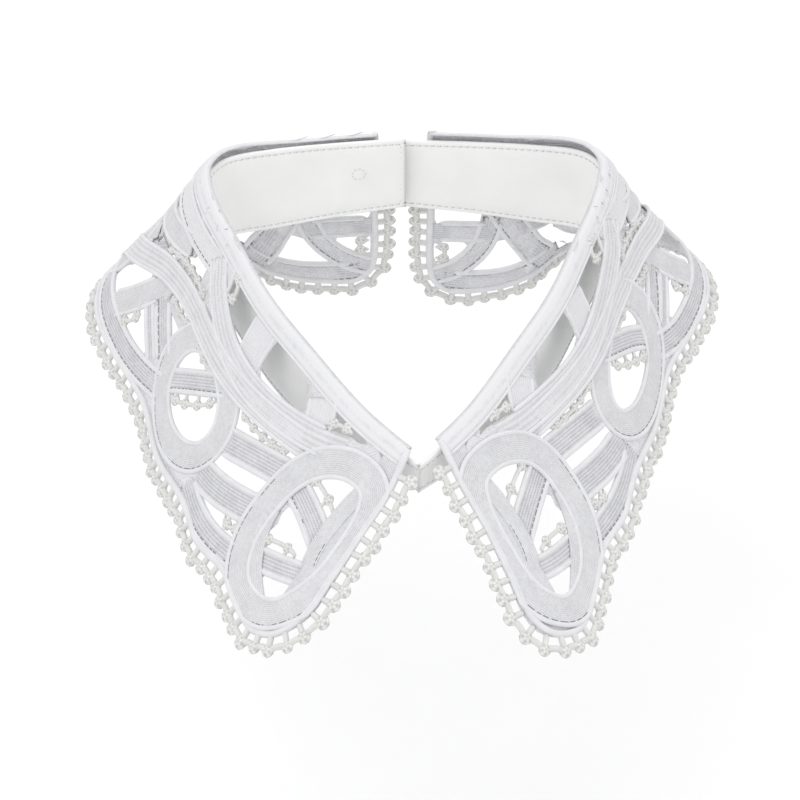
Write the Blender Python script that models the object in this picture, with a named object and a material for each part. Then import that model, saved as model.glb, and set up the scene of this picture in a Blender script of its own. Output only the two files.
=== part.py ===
"""False collar of white tape lace on a cotton neck band, as it sits round a neck.

Frame: metres, +Z up, the wearer faces -Y, x = 0 is the mirror plane. The origin is the middle of
the neck, on the level of the band's lower edge at the front. Lengths below are in millimetres.

The neck line is half a ring, from the centre front (u = 0) to the centre back (u about 200). Each
lace half is laid out flat as u along that line and v down its fall, then carried onto the fall.
"""
import math
from collections import namedtuple

import bmesh
import bpy
import numpy as np
from mathutils import Vector
from mathutils.geometry import delaunay_2d_cdt

MM = 0.001

# Cloth and clearances
BAND_WALL = 1.5
BAND_COLUMNS = 141
LACE_WALL = 1.8
CORD_RAISE = 0.5
PICOT_WALL = 1.2
SEAM_GAP = 0.3
# Outward places from the neck line, which is the outer edge of the fold
BAND_MIDDLE = -2.55
LACE_INNER = -1.5

# Closure at the centre back: the wearer's left end passes behind the right end, over a press stud
END_LAP = 1.0
TAIL = 18.0
CLOSURE_STEP = 3.1
CLOSURE_LACE_DROP = 1.2
CLOSURE_BAND_DROP = 0.97
CLOSURE_BAND_DIP = 0.7
STEP_START = 128.0
STEP_END = 172.0
STUD_RADIUS = 4.0
STUD_THICK = 1.0
STUD_FROM_END = 12.0
STUD_HEIGHT = 14.0
STUD_SIDES = 24

# Fold of the lace over the band's top edge
ROLL = 2.6
ROLL_ROWS = (-1.7, -0.8, 0.1)
ROLL_TOP_ANGLE = math.radians(98)
BAND_UNDER_FOLD = 0.9
HOLLOW = 1.2
HOLLOW_LENGTH = 50.0

# Lace layout
FALL = 62.0
HEADING = 3.5
EDGE_TAPE = 3.2
SMALLEST_HOLE = 18.0
HOLE_SPACING = 3.0
OUTLINE_SPACING = 3.2
TOP_SPACING = 4.0
FILL_SPACING = 8.0
FILL_CLEAR = 2.4
LAYOUT_U = (2.0, 198.0)
LAYOUT_V = (-3.0, 68.0)
LAYOUT_STEP = 1.0
FILL_U = (6.0, 194.0)
FILL_V = (0.0, 64.0)
ROLL_U = (7.5, 191.0)
ROLL_END = 0.5
FEWEST_POINTS = 6
JOIN_CLOSER = 1e-5

# Picot edging
PICOT_PITCH = 5.1
PICOT_STEPS = 4
PICOT_REACH = 5.4
PICOT_SCALLOP = 1.0
PICOT_START = 3.0

Ring = namedtuple("Ring", "x y z slope band_bottom fold_drop")
Fall = namedtuple("Fall", "u left right")
Arch = namedtuple("Arch", "name half_width u0 v0 u1 v1 sag lean", defaults=[0.0])
Loop = namedtuple("Loop", "name half_width u v half_u half_v point square lean", defaults=[0.0])
Edge = namedtuple("Edge", "u v")
Side = namedtuple("Side", "name mirror shift_front shift_side lean_front lean_side bulge")

# Neck line of the wearer's right half, centre front to centre back; slope in degrees from vertical
RING = [
    Ring(0.0, -64.5, 13.0, 52.0, 0.0, 2.2),
    Ring(-7.5, -58.0, 14.5, 50.0, 0.0, 2.2),
    Ring(-18.5, -45.5, 17.0, 43.0, 0.0, 2.2),
    Ring(-31.0, -26.0, 20.0, 39.0, 0.0, 2.2),
    Ring(-43.0, -5.0, 22.5, 33.0, 0.0, 2.2),
    Ring(-52.5, 19.0, 24.5, 29.0, -1.0, 2.2),
    Ring(-59.5, 39.0, 26.0, 31.0, -3.0, 2.2),
    Ring(-60.5, 52.0, 27.0, 33.0, -4.5, 2.0),
    Ring(-54.0, 60.0, 27.0, 26.0, -5.0, 1.2),
    Ring(-40.0, 62.5, 27.0, 12.0, -4.0, 0.0),
    Ring(-20.0, 65.0, 27.0, 6.0, -2.0, 0.0),
    Ring(0.0, 66.5, 27.0, 6.0, 0.0, 0.0),
]

# Real depth of the fall where the layout says FALL
FALLS = [
    Fall(0, 62, 61),
    Fall(18, 62, 61),
    Fall(35, 62, 57),
    Fall(55, 62, 55.5),
    Fall(80, 62, 55),
    Fall(100, 62, 55.5),
    Fall(118, 62, 57.5),
    Fall(135, 62, 60),
    Fall(150, 63, 65),
    Fall(170, 62.5, 68),
    Fall(200, 62, 67.5),
]

# The wearer's halves as they lie: how far each is slid along the neck line, and how it leans
SIDES = [
    Side("left", 1, 0.0, 0.0, 0.0, 0.0, 0.0),
    Side("right", -1, 4.5, 10.0, -0.12, -0.16, 6.0),
]
SHIFT_RISE = (10.0, 60.0)
SHIFT_FADE = (150.0, 190.0)
BULGE_MIDDLE = 91.0
BULGE_REACH = 16.0

LOOPS = [
    Loop("front_loop", 4.4, 21.6, 35.0, 12.3, 24.8, 0.1, 0.85, -8.0),
    Loop("side_loop", 4.2, 82.1, 39.2, 17.4, 15.2, 0.0, 1.0),
    Loop("rear_loop", 4.2, 141.5, 41.0, 7.0, 18.5, 0.0, 1.0),
]

ARCHES = [
    Arch("front_edge", 4.0, 8.0, 1.0, 13.0, 36.0, 1.0),
    Arch("front_top", 3.5, 12.0, 2.0, 19.0, 10.0, 0.0),
    Arch("loop_bar_upper", 4.5, 12.0, 36.5, 31.0, 28.0, -1.5),
    Arch("loop_bar_lower", 3.8, 12.0, 43.0, 28.0, 50.0, 0.0),
    Arch("neck_arc_front", 4.6, 22.0, 9.0, 103.0, 5.0, 12.5, 0.15),
    Arch("neck_bar_1", 4.0, 45.0, 1.0, 34.0, 15.0, 1.0),
    Arch("neck_bar_2", 5.8, 68.5, 1.0, 69.5, 18.0, 0.0),
    Arch("neck_bar_3", 5.5, 99.0, 1.0, 97.0, 17.0, 1.0),
    Arch("ladder_upper", 4.7, 32.0, 26.3, 63.0, 37.2, 0.0),
    Arch("ladder_lower", 5.0, 32.0, 39.5, 64.0, 49.0, 1.6),
    Arch("hem_arc_front", 4.0, 26.0, 52.0, 66.0, 55.0, 6.5),
    Arch("side_bar", 4.0, 68.0, 23.0, 97.0, 46.5, 0.0),
    Arch("side_arc", 4.2, 93.0, 25.0, 139.0, 60.0, -17.5),
    Arch("side_rib_1", 6.0, 103.0, 47.0, 119.0, 33.5, 0.0),
    Arch("side_rib_2", 4.4, 117.2, 26.0, 131.2, 56.0, 0.0),
    Arch("hem_arc_side", 4.5, 95.0, 49.0, 140.0, 53.0, 3.0),
    Arch("neck_tape", 4.0, 98.0, 7.0, 143.0, 7.0, 1.0),
    Arch("neck_arc_back", 4.2, 116.0, 12.0, 190.0, 10.0, 10.0),
    Arch("neck_bar_4", 4.5, 150.0, 1.0, 150.0, 20.0, 0.0),
    Arch("rear_loop_bar", 4.2, 137.0, 35.0, 149.0, 43.0, 0.0),
    Arch("corner_rib", 3.8, 133.0, 25.0, 137.0, 50.0, -1.0),
    Arch("rear_bar", 4.0, 168.0, 24.0, 155.5, 58.0, 0.0),
    Arch("rear_rung", 3.5, 147.0, 38.0, 163.0, 36.0, 0.0),
    Arch("neck_bar_5", 4.0, 176.0, 1.0, 172.0, 20.0, 0.0),
    Arch("back_arc", 4.0, 171.0, 30.0, 192.0, 55.0, 5.0),
    Arch("back_bar", 4.0, 170.0, 38.0, 192.0, 37.5, 0.0),
    Arch("hem_arc_rear", 3.5, 152.0, 57.0, 188.0, 57.0, 1.0),
]

# Outer cord of a lace half, from the fold at the front, along the hem, to the fold at the back
OUTLINE = [
    Edge(4.5, -ROLL),
    Edge(5.0, 10.0),
    Edge(7.0, 25.0),
    Edge(8.0, 40.0),
    Edge(9.0, 53.0),
    Edge(12.5, 62.5),
    Edge(19.0, 66.5),
    Edge(26.0, 64.5),
    Edge(34.0, 61.5),
    Edge(47.0, 63.2),
    Edge(63.0, 60.5),
    Edge(80.0, 62.0),
    Edge(97.0, 60.0),
    Edge(112.0, 59.0),
    Edge(129.0, 60.5),
    Edge(145.0, 62.0),
    Edge(160.0, 61.0),
    Edge(176.0, 61.5),
    Edge(187.0, 61.0),
    Edge(192.5, 55.0),
    Edge(193.0, 30.0),
    Edge(193.0, -ROLL),
]


def clear_scene():
    for obj in list(bpy.data.objects):
        bpy.data.objects.remove(obj, do_unlink=True)


def cloth_material(name, colour, roughness):
    material = bpy.data.materials.new(name)
    material.use_nodes = True
    shader = material.node_tree.nodes["Principled BSDF"]
    shader.inputs["Base Color"].default_value = (*colour, 1.0)
    shader.inputs["Roughness"].default_value = roughness
    shader.inputs["Metallic"].default_value = 0.0
    return material


def smooth_curve(keys, rows, at):
    """Cubic curve through rows at keys, read at the given keys."""
    keys = np.asarray(keys, float)
    rows = np.asarray(rows, float)
    at = np.clip(np.asarray(at, float), keys[0], keys[-1])
    slopes = np.empty_like(rows)
    slopes[1:-1] = (rows[2:] - rows[:-2]) / (keys[2:] - keys[:-2])[:, None]
    slopes[0] = (rows[1] - rows[0]) / (keys[1] - keys[0])
    slopes[-1] = (rows[-1] - rows[-2]) / (keys[-1] - keys[-2])
    i = np.clip(np.searchsorted(keys, at, side="right") - 1, 0, len(keys) - 2)
    step = (keys[i + 1] - keys[i])[..., None]
    t = (at - keys[i])[..., None] / step
    rise = t * t * (3 - 2 * t)
    value = rows[i] * (1 - rise) + rows[i + 1] * rise
    lean_in = slopes[i] * step * t * (1 - t) ** 2
    lean_out = slopes[i + 1] * step * t * t * (1 - t)
    return value + lean_in - lean_out


def lengths_along(points):
    steps = np.linalg.norm(np.diff(points, axis=0), axis=1)
    return np.concatenate([[0.0], np.cumsum(steps)])


def smoothstep(value, low, high):
    t = np.clip((np.asarray(value, float) - low) / (high - low), 0.0, 1.0)
    return t * t * (3 - 2 * t)


class NeckLine:
    """Half a ring, read by its length u from the centre front."""

    FINE = 2001
    FRONT_TANGENT = (-1.0, 0.35)
    FRONT_BLEND = 6.0
    SMOOTHING = 41

    def __init__(self, sections):
        rows = np.array(sections, float)
        keys = lengths_along(rows[:, :3])
        fine = smooth_curve(keys, rows, np.linspace(0, keys[-1], self.FINE))
        self.points = fine[:, :3]
        self.slope = np.radians(fine[:, 3])
        self.band_bottom = fine[:, 4]
        self.fold_drop = fine[:, 5]
        self.u = lengths_along(self.points)
        self.length = self.u[-1]
        self.tangents = self.smoothed_tangents()

    def smoothed_tangents(self):
        tangents = np.gradient(self.points[:, :2], self.u, axis=0)
        blend = np.exp(-self.u / self.FRONT_BLEND)[:, None]
        tangents = tangents * (1 - blend) + blend * np.array(self.FRONT_TANGENT)
        kernel = np.hanning(self.SMOOTHING)
        kernel /= kernel.sum()
        half = self.SMOOTHING // 2
        for _ in range(3):
            padded = np.pad(tangents, ((half, half), (0, 0)), mode="edge")
            columns = [np.convolve(padded[:, i], kernel, "valid") for i in range(2)]
            tangents = np.stack(columns, -1)
        return tangents / np.linalg.norm(tangents, axis=1, keepdims=True)

    def read(self, u, values):
        u = np.clip(u, 0, self.length)
        if values.ndim == 1:
            return np.interp(u, self.u, values)
        columns = [np.interp(u, self.u, values[:, i]) for i in range(values.shape[1])]
        return np.stack(columns, -1)

    def outward(self, u):
        tangent = self.read(u, self.tangents)
        flat = np.stack([-tangent[..., 1], tangent[..., 0], np.zeros_like(tangent[..., 0])], -1)
        return flat / np.linalg.norm(flat, axis=-1, keepdims=True)


NECK = NeckLine(RING)


def closure_step(u):
    return CLOSURE_STEP * smoothstep(u, STEP_START, STEP_END)


def fall_profile(slope, v):
    """Outward and upward offsets of the fall at distance v below the fold; v < 0 is the roll."""
    turn = (ROLL_TOP_ANGLE - slope) / ROLL
    back = np.clip(-v, 0, None)
    down = np.clip(v, 0, None)
    roll_out = (np.cos(slope + turn * back) - np.cos(slope)) / turn
    roll_up = (np.sin(slope + turn * back) - np.sin(slope)) / turn
    dip = -HOLLOW * np.sin(np.pi * np.clip(down / HOLLOW_LENGTH, 0, 1)) ** 2
    out = roll_out + down * np.sin(slope) + dip * np.cos(slope)
    up = roll_up - down * np.cos(slope) + dip * np.sin(slope)
    return out, up


def lace_point(side, u, v):
    """A point on the lace's inner face, from the flat layout."""
    u = np.asarray(u, float)
    v = np.asarray(v, float)
    falls = np.array(FALLS, float)
    depth = smooth_curve(falls[:, 0], falls[:, 1:], u)
    depth = depth[..., 0] if side.name == "left" else depth[..., 1]
    rise = smoothstep(u, *SHIFT_RISE)
    shift = side.shift_front + (side.shift_side - side.shift_front) * rise
    lean = side.lean_front + (side.lean_side - side.lean_front) * rise
    shift = shift + side.bulge * np.exp(-(((u - BULGE_MIDDLE) / BULGE_REACH) ** 2))
    fade = 1 - smoothstep(u, *SHIFT_FADE)
    along = u + (shift + lean * np.clip(v, 0, None)) * fade
    along = np.clip(along, 0, NECK.length)
    v = np.where(v > 0, v * depth / FALL, v)
    slope = NECK.read(along, NECK.slope)
    out, up = fall_profile(slope, v)
    outward = NECK.outward(along)
    step = closure_step(along)
    offset = out + LACE_INNER + step
    point = NECK.read(along, NECK.points) + outward * offset[..., None]
    drop = NECK.read(along, NECK.fold_drop) + CLOSURE_LACE_DROP * step**2 / CLOSURE_STEP
    point[..., 2] += up - drop
    point[..., 0] *= side.mirror
    return point


def arch_route(arch, samples=48):
    start = np.array([arch.u0, arch.v0])
    end = np.array([arch.u1, arch.v1])
    run = end - start
    across = np.array([-run[1], run[0]]) / np.hypot(*run)
    middle = start + run * (0.5 + arch.lean) + 2 * arch.sag * across
    t = np.linspace(0, 1, samples)[:, None]
    return (1 - t) ** 2 * start + 2 * t * (1 - t) * middle + t**2 * end


def loop_route(loop, samples=96):
    angle = np.linspace(0, 2 * math.pi, samples)
    sine, cosine = np.sin(angle), np.cos(angle)
    lower = (1 - cosine) / 2
    upper = 1 - lower
    across = np.sign(sine) * np.abs(sine) ** loop.square * (1 - loop.point * lower**2)
    down = -np.sign(cosine) * np.abs(cosine) ** loop.square
    level = loop.u + loop.half_u * across + loop.lean * upper**3
    return np.stack([level, loop.v + loop.half_v * down], -1)


def outline_route(samples=900):
    rows = np.array(OUTLINE, float)
    keys = lengths_along(rows)
    return smooth_curve(keys, rows, np.linspace(0, keys[-1], samples))


def distance_to(points, route):
    gaps = points[..., None, :] - route
    return np.sqrt(np.min(np.sum(gaps * gaps, axis=-1), axis=-1))


def inside(points, polygon):
    """Even-odd test of flat points against a closed polygon."""
    x, y = points[..., 0], points[..., 1]
    result = np.zeros(x.shape, bool)
    ends = np.roll(polygon, -1, axis=0)
    for (x0, y0), (x1, y1) in zip(polygon, ends):
        crosses = (y0 > y) != (y1 > y)
        if crosses.any():
            at = x0 + (y - y0) * (x1 - x0) / (y1 - y0 + 1e-12)
            result ^= crosses & (x < at)
    return result


def open_field(side, grid):
    """Positive where a flat point lies between the tapes, zero along their edges."""
    place = lace_point(side, grid[..., 0], grid[..., 1])
    field = grid[..., 1] - HEADING
    for tape in LOOPS + ARCHES:
        route = loop_route(tape) if isinstance(tape, Loop) else arch_route(tape)
        line = lace_point(side, route[:, 0], route[:, 1])
        field = np.minimum(field, distance_to(place, line) - tape.half_width)
    edge = outline_route(400)
    line = lace_point(side, edge[:, 0], edge[:, 1])
    field = np.minimum(field, distance_to(place, line) - EDGE_TAPE)
    return np.where(inside(grid, edge), field, -EDGE_TAPE)


def contour_loops(grid, field):
    """Closed zero lines of the field on a regular flat grid."""
    links = {}
    places = {}
    rows, columns = field.shape
    for i in range(rows - 1):
        for j in range(columns - 1):
            corners = [(i, j), (i, j + 1), (i + 1, j + 1), (i + 1, j)]
            signs = [field[c] > 0 for c in corners]
            if all(signs) or not any(signs):
                continue
            cuts = []
            for k in range(4):
                a, b = corners[k], corners[(k + 1) % 4]
                if signs[k] != signs[(k + 1) % 4]:
                    key = (min(a, b), max(a, b))
                    t = field[a] / (field[a] - field[b])
                    places[key] = grid[a] * (1 - t) + grid[b] * t
                    cuts.append(key)
            for a, b in zip(cuts[0::2], cuts[1::2]):
                links.setdefault(a, []).append(b)
                links.setdefault(b, []).append(a)
    loops = []
    unused = set(links)
    while unused:
        first = unused.pop()
        loop = [first]
        current = first
        while True:
            onward = [k for k in links[current] if k in unused]
            if not onward:
                break
            current = onward[0]
            unused.discard(current)
            loop.append(current)
        loops.append(np.array([places[k] for k in loop]))
    return loops


def area_of(points):
    """Area of a closed loop of points in space, about its middle."""
    spokes = points - points.mean(axis=0)
    return 0.5 * np.linalg.norm(np.cross(spokes, np.roll(spokes, -1, axis=0)).sum(axis=0))


def respaced(side, flat, spacing, closed):
    """A flat line with its points spaced by their real distance on the fall."""
    if closed:
        flat = np.vstack([flat, flat[:1]])
    keys = lengths_along(lace_point(side, flat[:, 0], flat[:, 1]))
    count = max(FEWEST_POINTS, round(keys[-1] / spacing))
    at = np.linspace(0, keys[-1], count + 1)
    line = np.stack([np.interp(at, keys, flat[:, i]) for i in range(2)], -1)
    return line[:-1] if closed else line


def hole_lines(side):
    u, v = np.meshgrid(np.arange(*LAYOUT_U, LAYOUT_STEP), np.arange(*LAYOUT_V, LAYOUT_STEP))
    grid = np.stack([u, v], -1)
    lines = []
    for loop in contour_loops(grid, open_field(side, grid)):
        if len(loop) < FEWEST_POINTS or area_of(lace_point(side, loop[:, 0], loop[:, 1])) < SMALLEST_HOLE:
            continue
        lines.append(respaced(side, loop, HOLE_SPACING, closed=True))
    return lines


def fill_points(rim, holes):
    """A loose lattice of flat points inside the rim, clear of every edge."""
    u, v = np.meshgrid(np.arange(*FILL_U, FILL_SPACING), np.arange(*FILL_V, FILL_SPACING))
    lattice = np.stack([u.ravel(), v.ravel()], -1)
    keep = inside(lattice, rim)
    for hole in holes:
        keep &= ~inside(lattice, hole)
    edges = np.vstack([rim] + holes)
    keep &= distance_to(lattice, edges) > FILL_CLEAR
    return lattice[keep]


def rim_line(side):
    """Flat points all round a lace half: outer cord, then back along the rolled top edge."""
    route = outline_route()
    edge = respaced(side, route[route[:, 1] > ROLL_ROWS[-1]], OUTLINE_SPACING, closed=False)
    front, back = edge[0], edge[-1]
    rows = ROLL_ROWS[:-1]
    front_end = [(front[0], v) for v in rows]
    back_end = [(back[0], v) for v in reversed(rows)]
    steps = int((back[0] - front[0]) / TOP_SPACING)
    top = [(u, -ROLL) for u in np.linspace(back[0], front[0], steps)]
    return np.vstack([front_end, edge, back_end, top])


def flat_lace(side):
    """Flat points, triangles and the set of edge points of one lace half."""
    rim = rim_line(side)
    holes = hole_lines(side)
    loops = [rim] + holes
    points = []
    edges = []
    for loop in loops:
        first = len(points)
        points += [Vector(p) for p in loop]
        edges += [(first + i, first + (i + 1) % len(loop)) for i in range(len(loop))]
    edge_count = len(points)
    points += [Vector(p) for p in fill_points(rim, holes)]
    for v in ROLL_ROWS:
        points += [Vector((u, v)) for u in np.arange(*ROLL_U, TOP_SPACING)]
    result = delaunay_2d_cdt(points, edges, [], 0, JOIN_CLOSER)
    verts, faces, origins = result[0], result[2], result[3]
    flat = np.array([tuple(p) for p in verts])
    faces = [tuple(f) for f in faces]
    middles = np.array([flat[list(f)].mean(axis=0) for f in faces])
    keep = inside(middles, rim)
    for hole in holes:
        keep &= ~inside(middles, hole)
    faces = [f for f, kept in zip(faces, keep) if kept]
    on_edge = {i for i, sources in enumerate(origins) if any(k < edge_count for k in sources)}
    return flat, faces, on_edge


def add_object(name, bm, material):
    mesh = bpy.data.meshes.new(name)
    bm.to_mesh(mesh)
    bm.free()
    mesh.materials.append(material)
    mesh.shade_smooth()
    obj = bpy.data.objects.new(name, mesh)
    bpy.context.collection.objects.link(obj)
    return obj


def add_wall(obj, thickness, offset, weights=None):
    """Give a sheet its thickness; weights scale it point by point."""
    wall = obj.modifiers.new("wall", "SOLIDIFY")
    wall.thickness = thickness * MM
    wall.offset = offset
    wall.use_rim = True
    wall.use_even_offset = False
    if weights is not None:
        group = obj.vertex_groups.new(name="wall")
        for index, weight in enumerate(weights):
            group.add([index], float(weight), "REPLACE")
        wall.vertex_group = group.name
    return wall


def sheet_mesh(points, faces, outward):
    """A sheet with its faces turned to the given outward directions."""
    bm = bmesh.new()
    verts = [bm.verts.new(Vector(p) * MM) for p in points]
    for face in faces:
        corner = [Vector(points[i]) for i in face[:3]]
        normal = (corner[1] - corner[0]).cross(corner[2] - corner[0])
        order = face if normal.dot(Vector(outward[face[0]])) > 0 else tuple(reversed(face))
        bm.faces.new([verts[i] for i in order])
    loose = [v for v in bm.verts if not v.link_faces]
    bmesh.ops.delete(bm, geom=loose, context="VERTS")
    return bm


def lace_outward(side, u, v):
    """Unit normals of the fall, away from the neck."""
    step = 0.5
    along = lace_point(side, u + step, v) - lace_point(side, u - step, v)
    down = lace_point(side, u, v + step) - lace_point(side, u, v - step)
    normal = np.cross(down, along) * side.mirror
    normal /= np.linalg.norm(normal, axis=-1, keepdims=True)
    outward = NECK.outward(np.clip(u, 0, NECK.length))
    outward[..., 0] *= side.mirror
    facing = np.sum(normal * outward, axis=-1, keepdims=True)
    return np.where(facing < 0, -normal, normal)


def build_lace(side, material):
    flat, faces, on_edge = flat_lace(side)
    points = lace_point(side, flat[:, 0], flat[:, 1])
    outward = lace_outward(side, flat[:, 0], np.clip(flat[:, 1], ROLL_END, None))
    used = sorted({i for face in faces for i in face})
    renumber = {old: new for new, old in enumerate(used)}
    faces = [tuple(renumber[i] for i in face) for face in faces]
    bm = sheet_mesh(points[used], faces, outward[used])
    obj = add_object(f"lace_{side.name}", bm, material)
    full = LACE_WALL + CORD_RAISE
    weights = [1.0 if i in on_edge and flat[i, 1] > ROLL_END else LACE_WALL / full for i in used]
    add_wall(obj, full, 1.0, weights)
    return obj


def build_picots(side, material):
    """Scalloped strip along the outer cord, one scallop for each picot."""
    flat = outline_route()
    line = lace_point(side, flat[:, 0], flat[:, 1])
    keys = lengths_along(line)
    count = round((keys[-1] - 2 * PICOT_START) / PICOT_PITCH)
    at = np.linspace(PICOT_START + ROLL, keys[-1] - PICOT_START - ROLL, count * PICOT_STEPS + 1)
    line = np.stack([np.interp(at, keys, line[:, i]) for i in range(3)], -1)
    u, v = (np.interp(at, keys, flat[:, i]) for i in range(2))
    normal = lace_outward(side, u, v)
    tangent = np.gradient(line, axis=0)
    across = np.cross(tangent, normal)
    across /= np.linalg.norm(across, axis=1, keepdims=True)
    flat_run = np.stack([np.gradient(u), np.gradient(v)], -1)
    flat_run /= np.linalg.norm(flat_run, axis=1, keepdims=True)
    off = lace_point(side, u - flat_run[:, 1], v + flat_run[:, 0]) - line
    across *= np.sign(np.sum(across * off, axis=1, keepdims=True))
    phase = np.arange(len(at)) / PICOT_STEPS
    bump = np.sin(np.pi * phase) ** 2
    reach = PICOT_REACH + PICOT_SCALLOP * (bump - 0.5)
    inner = line + across * SEAM_GAP + normal * SEAM_GAP
    outer = line + across * reach[:, None] + normal * SEAM_GAP
    points = np.vstack([inner, outer])
    rows = len(at)
    faces = [(i, i + 1, rows + i + 1, rows + i) for i in range(rows - 1)]
    bm = sheet_mesh(points, faces, np.vstack([normal, normal]))
    obj = add_object(f"picot_edging_{side.name}", bm, material)
    full = PICOT_WALL + CORD_RAISE
    raised = PICOT_WALL + CORD_RAISE * bump
    weights = np.concatenate([np.full(rows, PICOT_WALL), raised]) / full
    add_wall(obj, full, 1.0, weights)
    return obj


def band_point(s):
    """Middle of the band's wall and its two edge heights, s along the whole ring from the front."""
    side = -1 if s >= 0 else 1
    u = abs(s)
    past = u > NECK.length
    if past:
        u = 2 * NECK.length - u
    step = closure_step(abs(s)) if side < 0 else 0.0
    outward = NECK.outward(u) if u > 0 else np.array([0.0, -1.0, 0.0])
    point = NECK.read(u, NECK.points) + outward * (BAND_MIDDLE + step)
    mirror = -side if past else side
    point[0] = point[0] * mirror
    top = point[2] - float(NECK.read(u, NECK.fold_drop)) - BAND_UNDER_FOLD
    top -= CLOSURE_BAND_DROP * step
    bottom = float(NECK.read(u, NECK.band_bottom)) - CLOSURE_BAND_DIP * step
    return point, bottom, top


def build_band(material):
    stations = np.linspace(-(NECK.length + END_LAP), NECK.length + TAIL, BAND_COLUMNS)
    points = []
    outward = []
    for s in stations:
        point, bottom, top = band_point(s)
        points += [(point[0], point[1], bottom), (point[0], point[1], top)]
        outward += [(point[0], point[1], 0.0)] * 2
    starts = range(0, 2 * (BAND_COLUMNS - 1), 2)
    faces = [(a, a + 2, a + 3, a + 1) for a in starts]
    bm = sheet_mesh(points, faces, outward)
    obj = add_object("neck_band", bm, material)
    add_wall(obj, BAND_WALL, 0.0)
    return obj


def build_stud(material):
    """Flat press stud between the two lapped ends."""
    u = NECK.length - STUD_FROM_END
    offset = BAND_MIDDLE + CLOSURE_STEP / 2
    centre = NECK.read(u, NECK.points) + NECK.outward(u) * offset
    bm = bmesh.new()
    bmesh.ops.create_cone(
        bm, cap_ends=True, segments=STUD_SIDES, radius1=STUD_RADIUS * MM, radius2=STUD_RADIUS * MM,
        depth=STUD_THICK * MM)
    obj = add_object("press_stud", bm, material)
    obj.rotation_euler = Vector(NECK.outward(u)).to_track_quat("Z", "Y").to_euler()
    obj.location = Vector((centre[0], centre[1], STUD_HEIGHT)) * MM
    return obj


def main():
    clear_scene()
    cotton = cloth_material("cotton_band", (0.86, 0.87, 0.86), 0.85)
    thread = cloth_material("lace_thread", (0.90, 0.91, 0.93), 0.8)
    edging = cloth_material("picot_thread", (0.92, 0.93, 0.94), 0.8)
    metal = cloth_material("stud_resin", (0.85, 0.85, 0.83), 0.35)
    build_band(cotton)
    build_stud(metal)
    for side in SIDES:
        build_lace(side, thread)
        build_picots(side, edging)


main()
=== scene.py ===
"""A false collar of white tape lace on a cotton neck band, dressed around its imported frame.

Lengths in the tables are millimetres. Each lace half is laid out flat as u, the distance along the
neck line from the centre front, and v, the distance down the fall, and is then carried onto the
fall. Positive z is up and the wearer faces -y.
"""
from __future__ import annotations

import logging
import math
from dataclasses import dataclass
from enum import Enum
from typing import Callable, Sequence

import bmesh
import bpy
import numpy as np
from mathutils import Matrix, Vector

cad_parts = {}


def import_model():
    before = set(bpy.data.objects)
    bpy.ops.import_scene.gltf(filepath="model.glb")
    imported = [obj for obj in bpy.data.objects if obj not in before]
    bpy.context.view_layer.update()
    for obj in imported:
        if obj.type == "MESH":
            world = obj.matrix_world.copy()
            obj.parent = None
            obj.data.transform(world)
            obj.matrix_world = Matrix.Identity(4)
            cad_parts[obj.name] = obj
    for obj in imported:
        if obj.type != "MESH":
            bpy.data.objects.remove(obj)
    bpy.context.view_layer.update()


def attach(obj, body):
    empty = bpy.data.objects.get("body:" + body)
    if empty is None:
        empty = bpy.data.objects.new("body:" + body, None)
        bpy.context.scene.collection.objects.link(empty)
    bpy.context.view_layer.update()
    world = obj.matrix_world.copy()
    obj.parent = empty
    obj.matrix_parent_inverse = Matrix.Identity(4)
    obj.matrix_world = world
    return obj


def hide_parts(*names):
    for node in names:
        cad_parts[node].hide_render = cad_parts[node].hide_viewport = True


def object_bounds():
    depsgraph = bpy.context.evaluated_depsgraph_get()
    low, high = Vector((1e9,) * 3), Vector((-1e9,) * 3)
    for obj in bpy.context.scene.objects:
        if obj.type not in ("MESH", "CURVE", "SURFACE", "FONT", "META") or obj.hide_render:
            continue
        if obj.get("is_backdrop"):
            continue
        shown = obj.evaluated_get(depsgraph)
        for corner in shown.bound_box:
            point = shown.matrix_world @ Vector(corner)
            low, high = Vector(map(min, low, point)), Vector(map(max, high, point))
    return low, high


LOG = logging.getLogger("false_collar")
MM = 0.001
FALL = 62.0
ROLL = 2.6
Array = np.ndarray


class Lie(Enum):
    """How a tape lies where it meets its neighbours, as a lift in millimetres."""

    UNDER = -0.2
    LEVEL = 0.0
    OVER = 0.58
    HIGH = 0.84


Lies = tuple[Lie, Lie, Lie]
LEVEL_LIE = (Lie.LEVEL, Lie.LEVEL, Lie.LEVEL)
UNDER_LIE = (Lie.UNDER, Lie.UNDER, Lie.UNDER)
OVER_LIE = (Lie.OVER, Lie.OVER, Lie.OVER)
TUCKED = (Lie.UNDER, Lie.LEVEL, Lie.UNDER)
UNDER_OVER = (Lie.UNDER, Lie.OVER, Lie.LEVEL)


class Weave(Enum):
    """How a tape is woven: the pitch and the depth of its long ribs, and how open it is, which sets
    the painted shade in its gaps.
    """

    CLOSE = (0.62, 0.035, 0.25)
    LADDER = (1.0, 0.12, 1.0)
    SATIN = (1.7, 0.13, 0.0)
    PLAIN = (2.2, 0.03, -2.0)
    CLOTH = (0.8, 0.04, -1.6)


class Slits(Enum):
    """Which edges of a tape show a row of slits: on the left of its run, and on the right."""

    NONE = (0, 0)
    LEFT = (1, 0)
    RIGHT = (0, 1)
    BOTH = (1, 1)


@dataclass(frozen=True)
class Station:
    """One station of the neck line: its place, the fall's slope, the band's lower edge, and
    how far below the line the lace folds."""

    x: float
    y: float
    z: float
    slope: float
    band_bottom: float
    fold_drop: float


@dataclass(frozen=True)
class Depth:
    """The real depth of the fall where the layout says FALL."""

    u: float
    left: float
    right: float


@dataclass(frozen=True)
class HalfLie:
    """How a lace half lies: slid along the neck line, and leaning."""

    name: str
    mirror: int
    shift_front: float
    shift_side: float
    lean_front: float
    lean_side: float
    bulge: float


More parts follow.
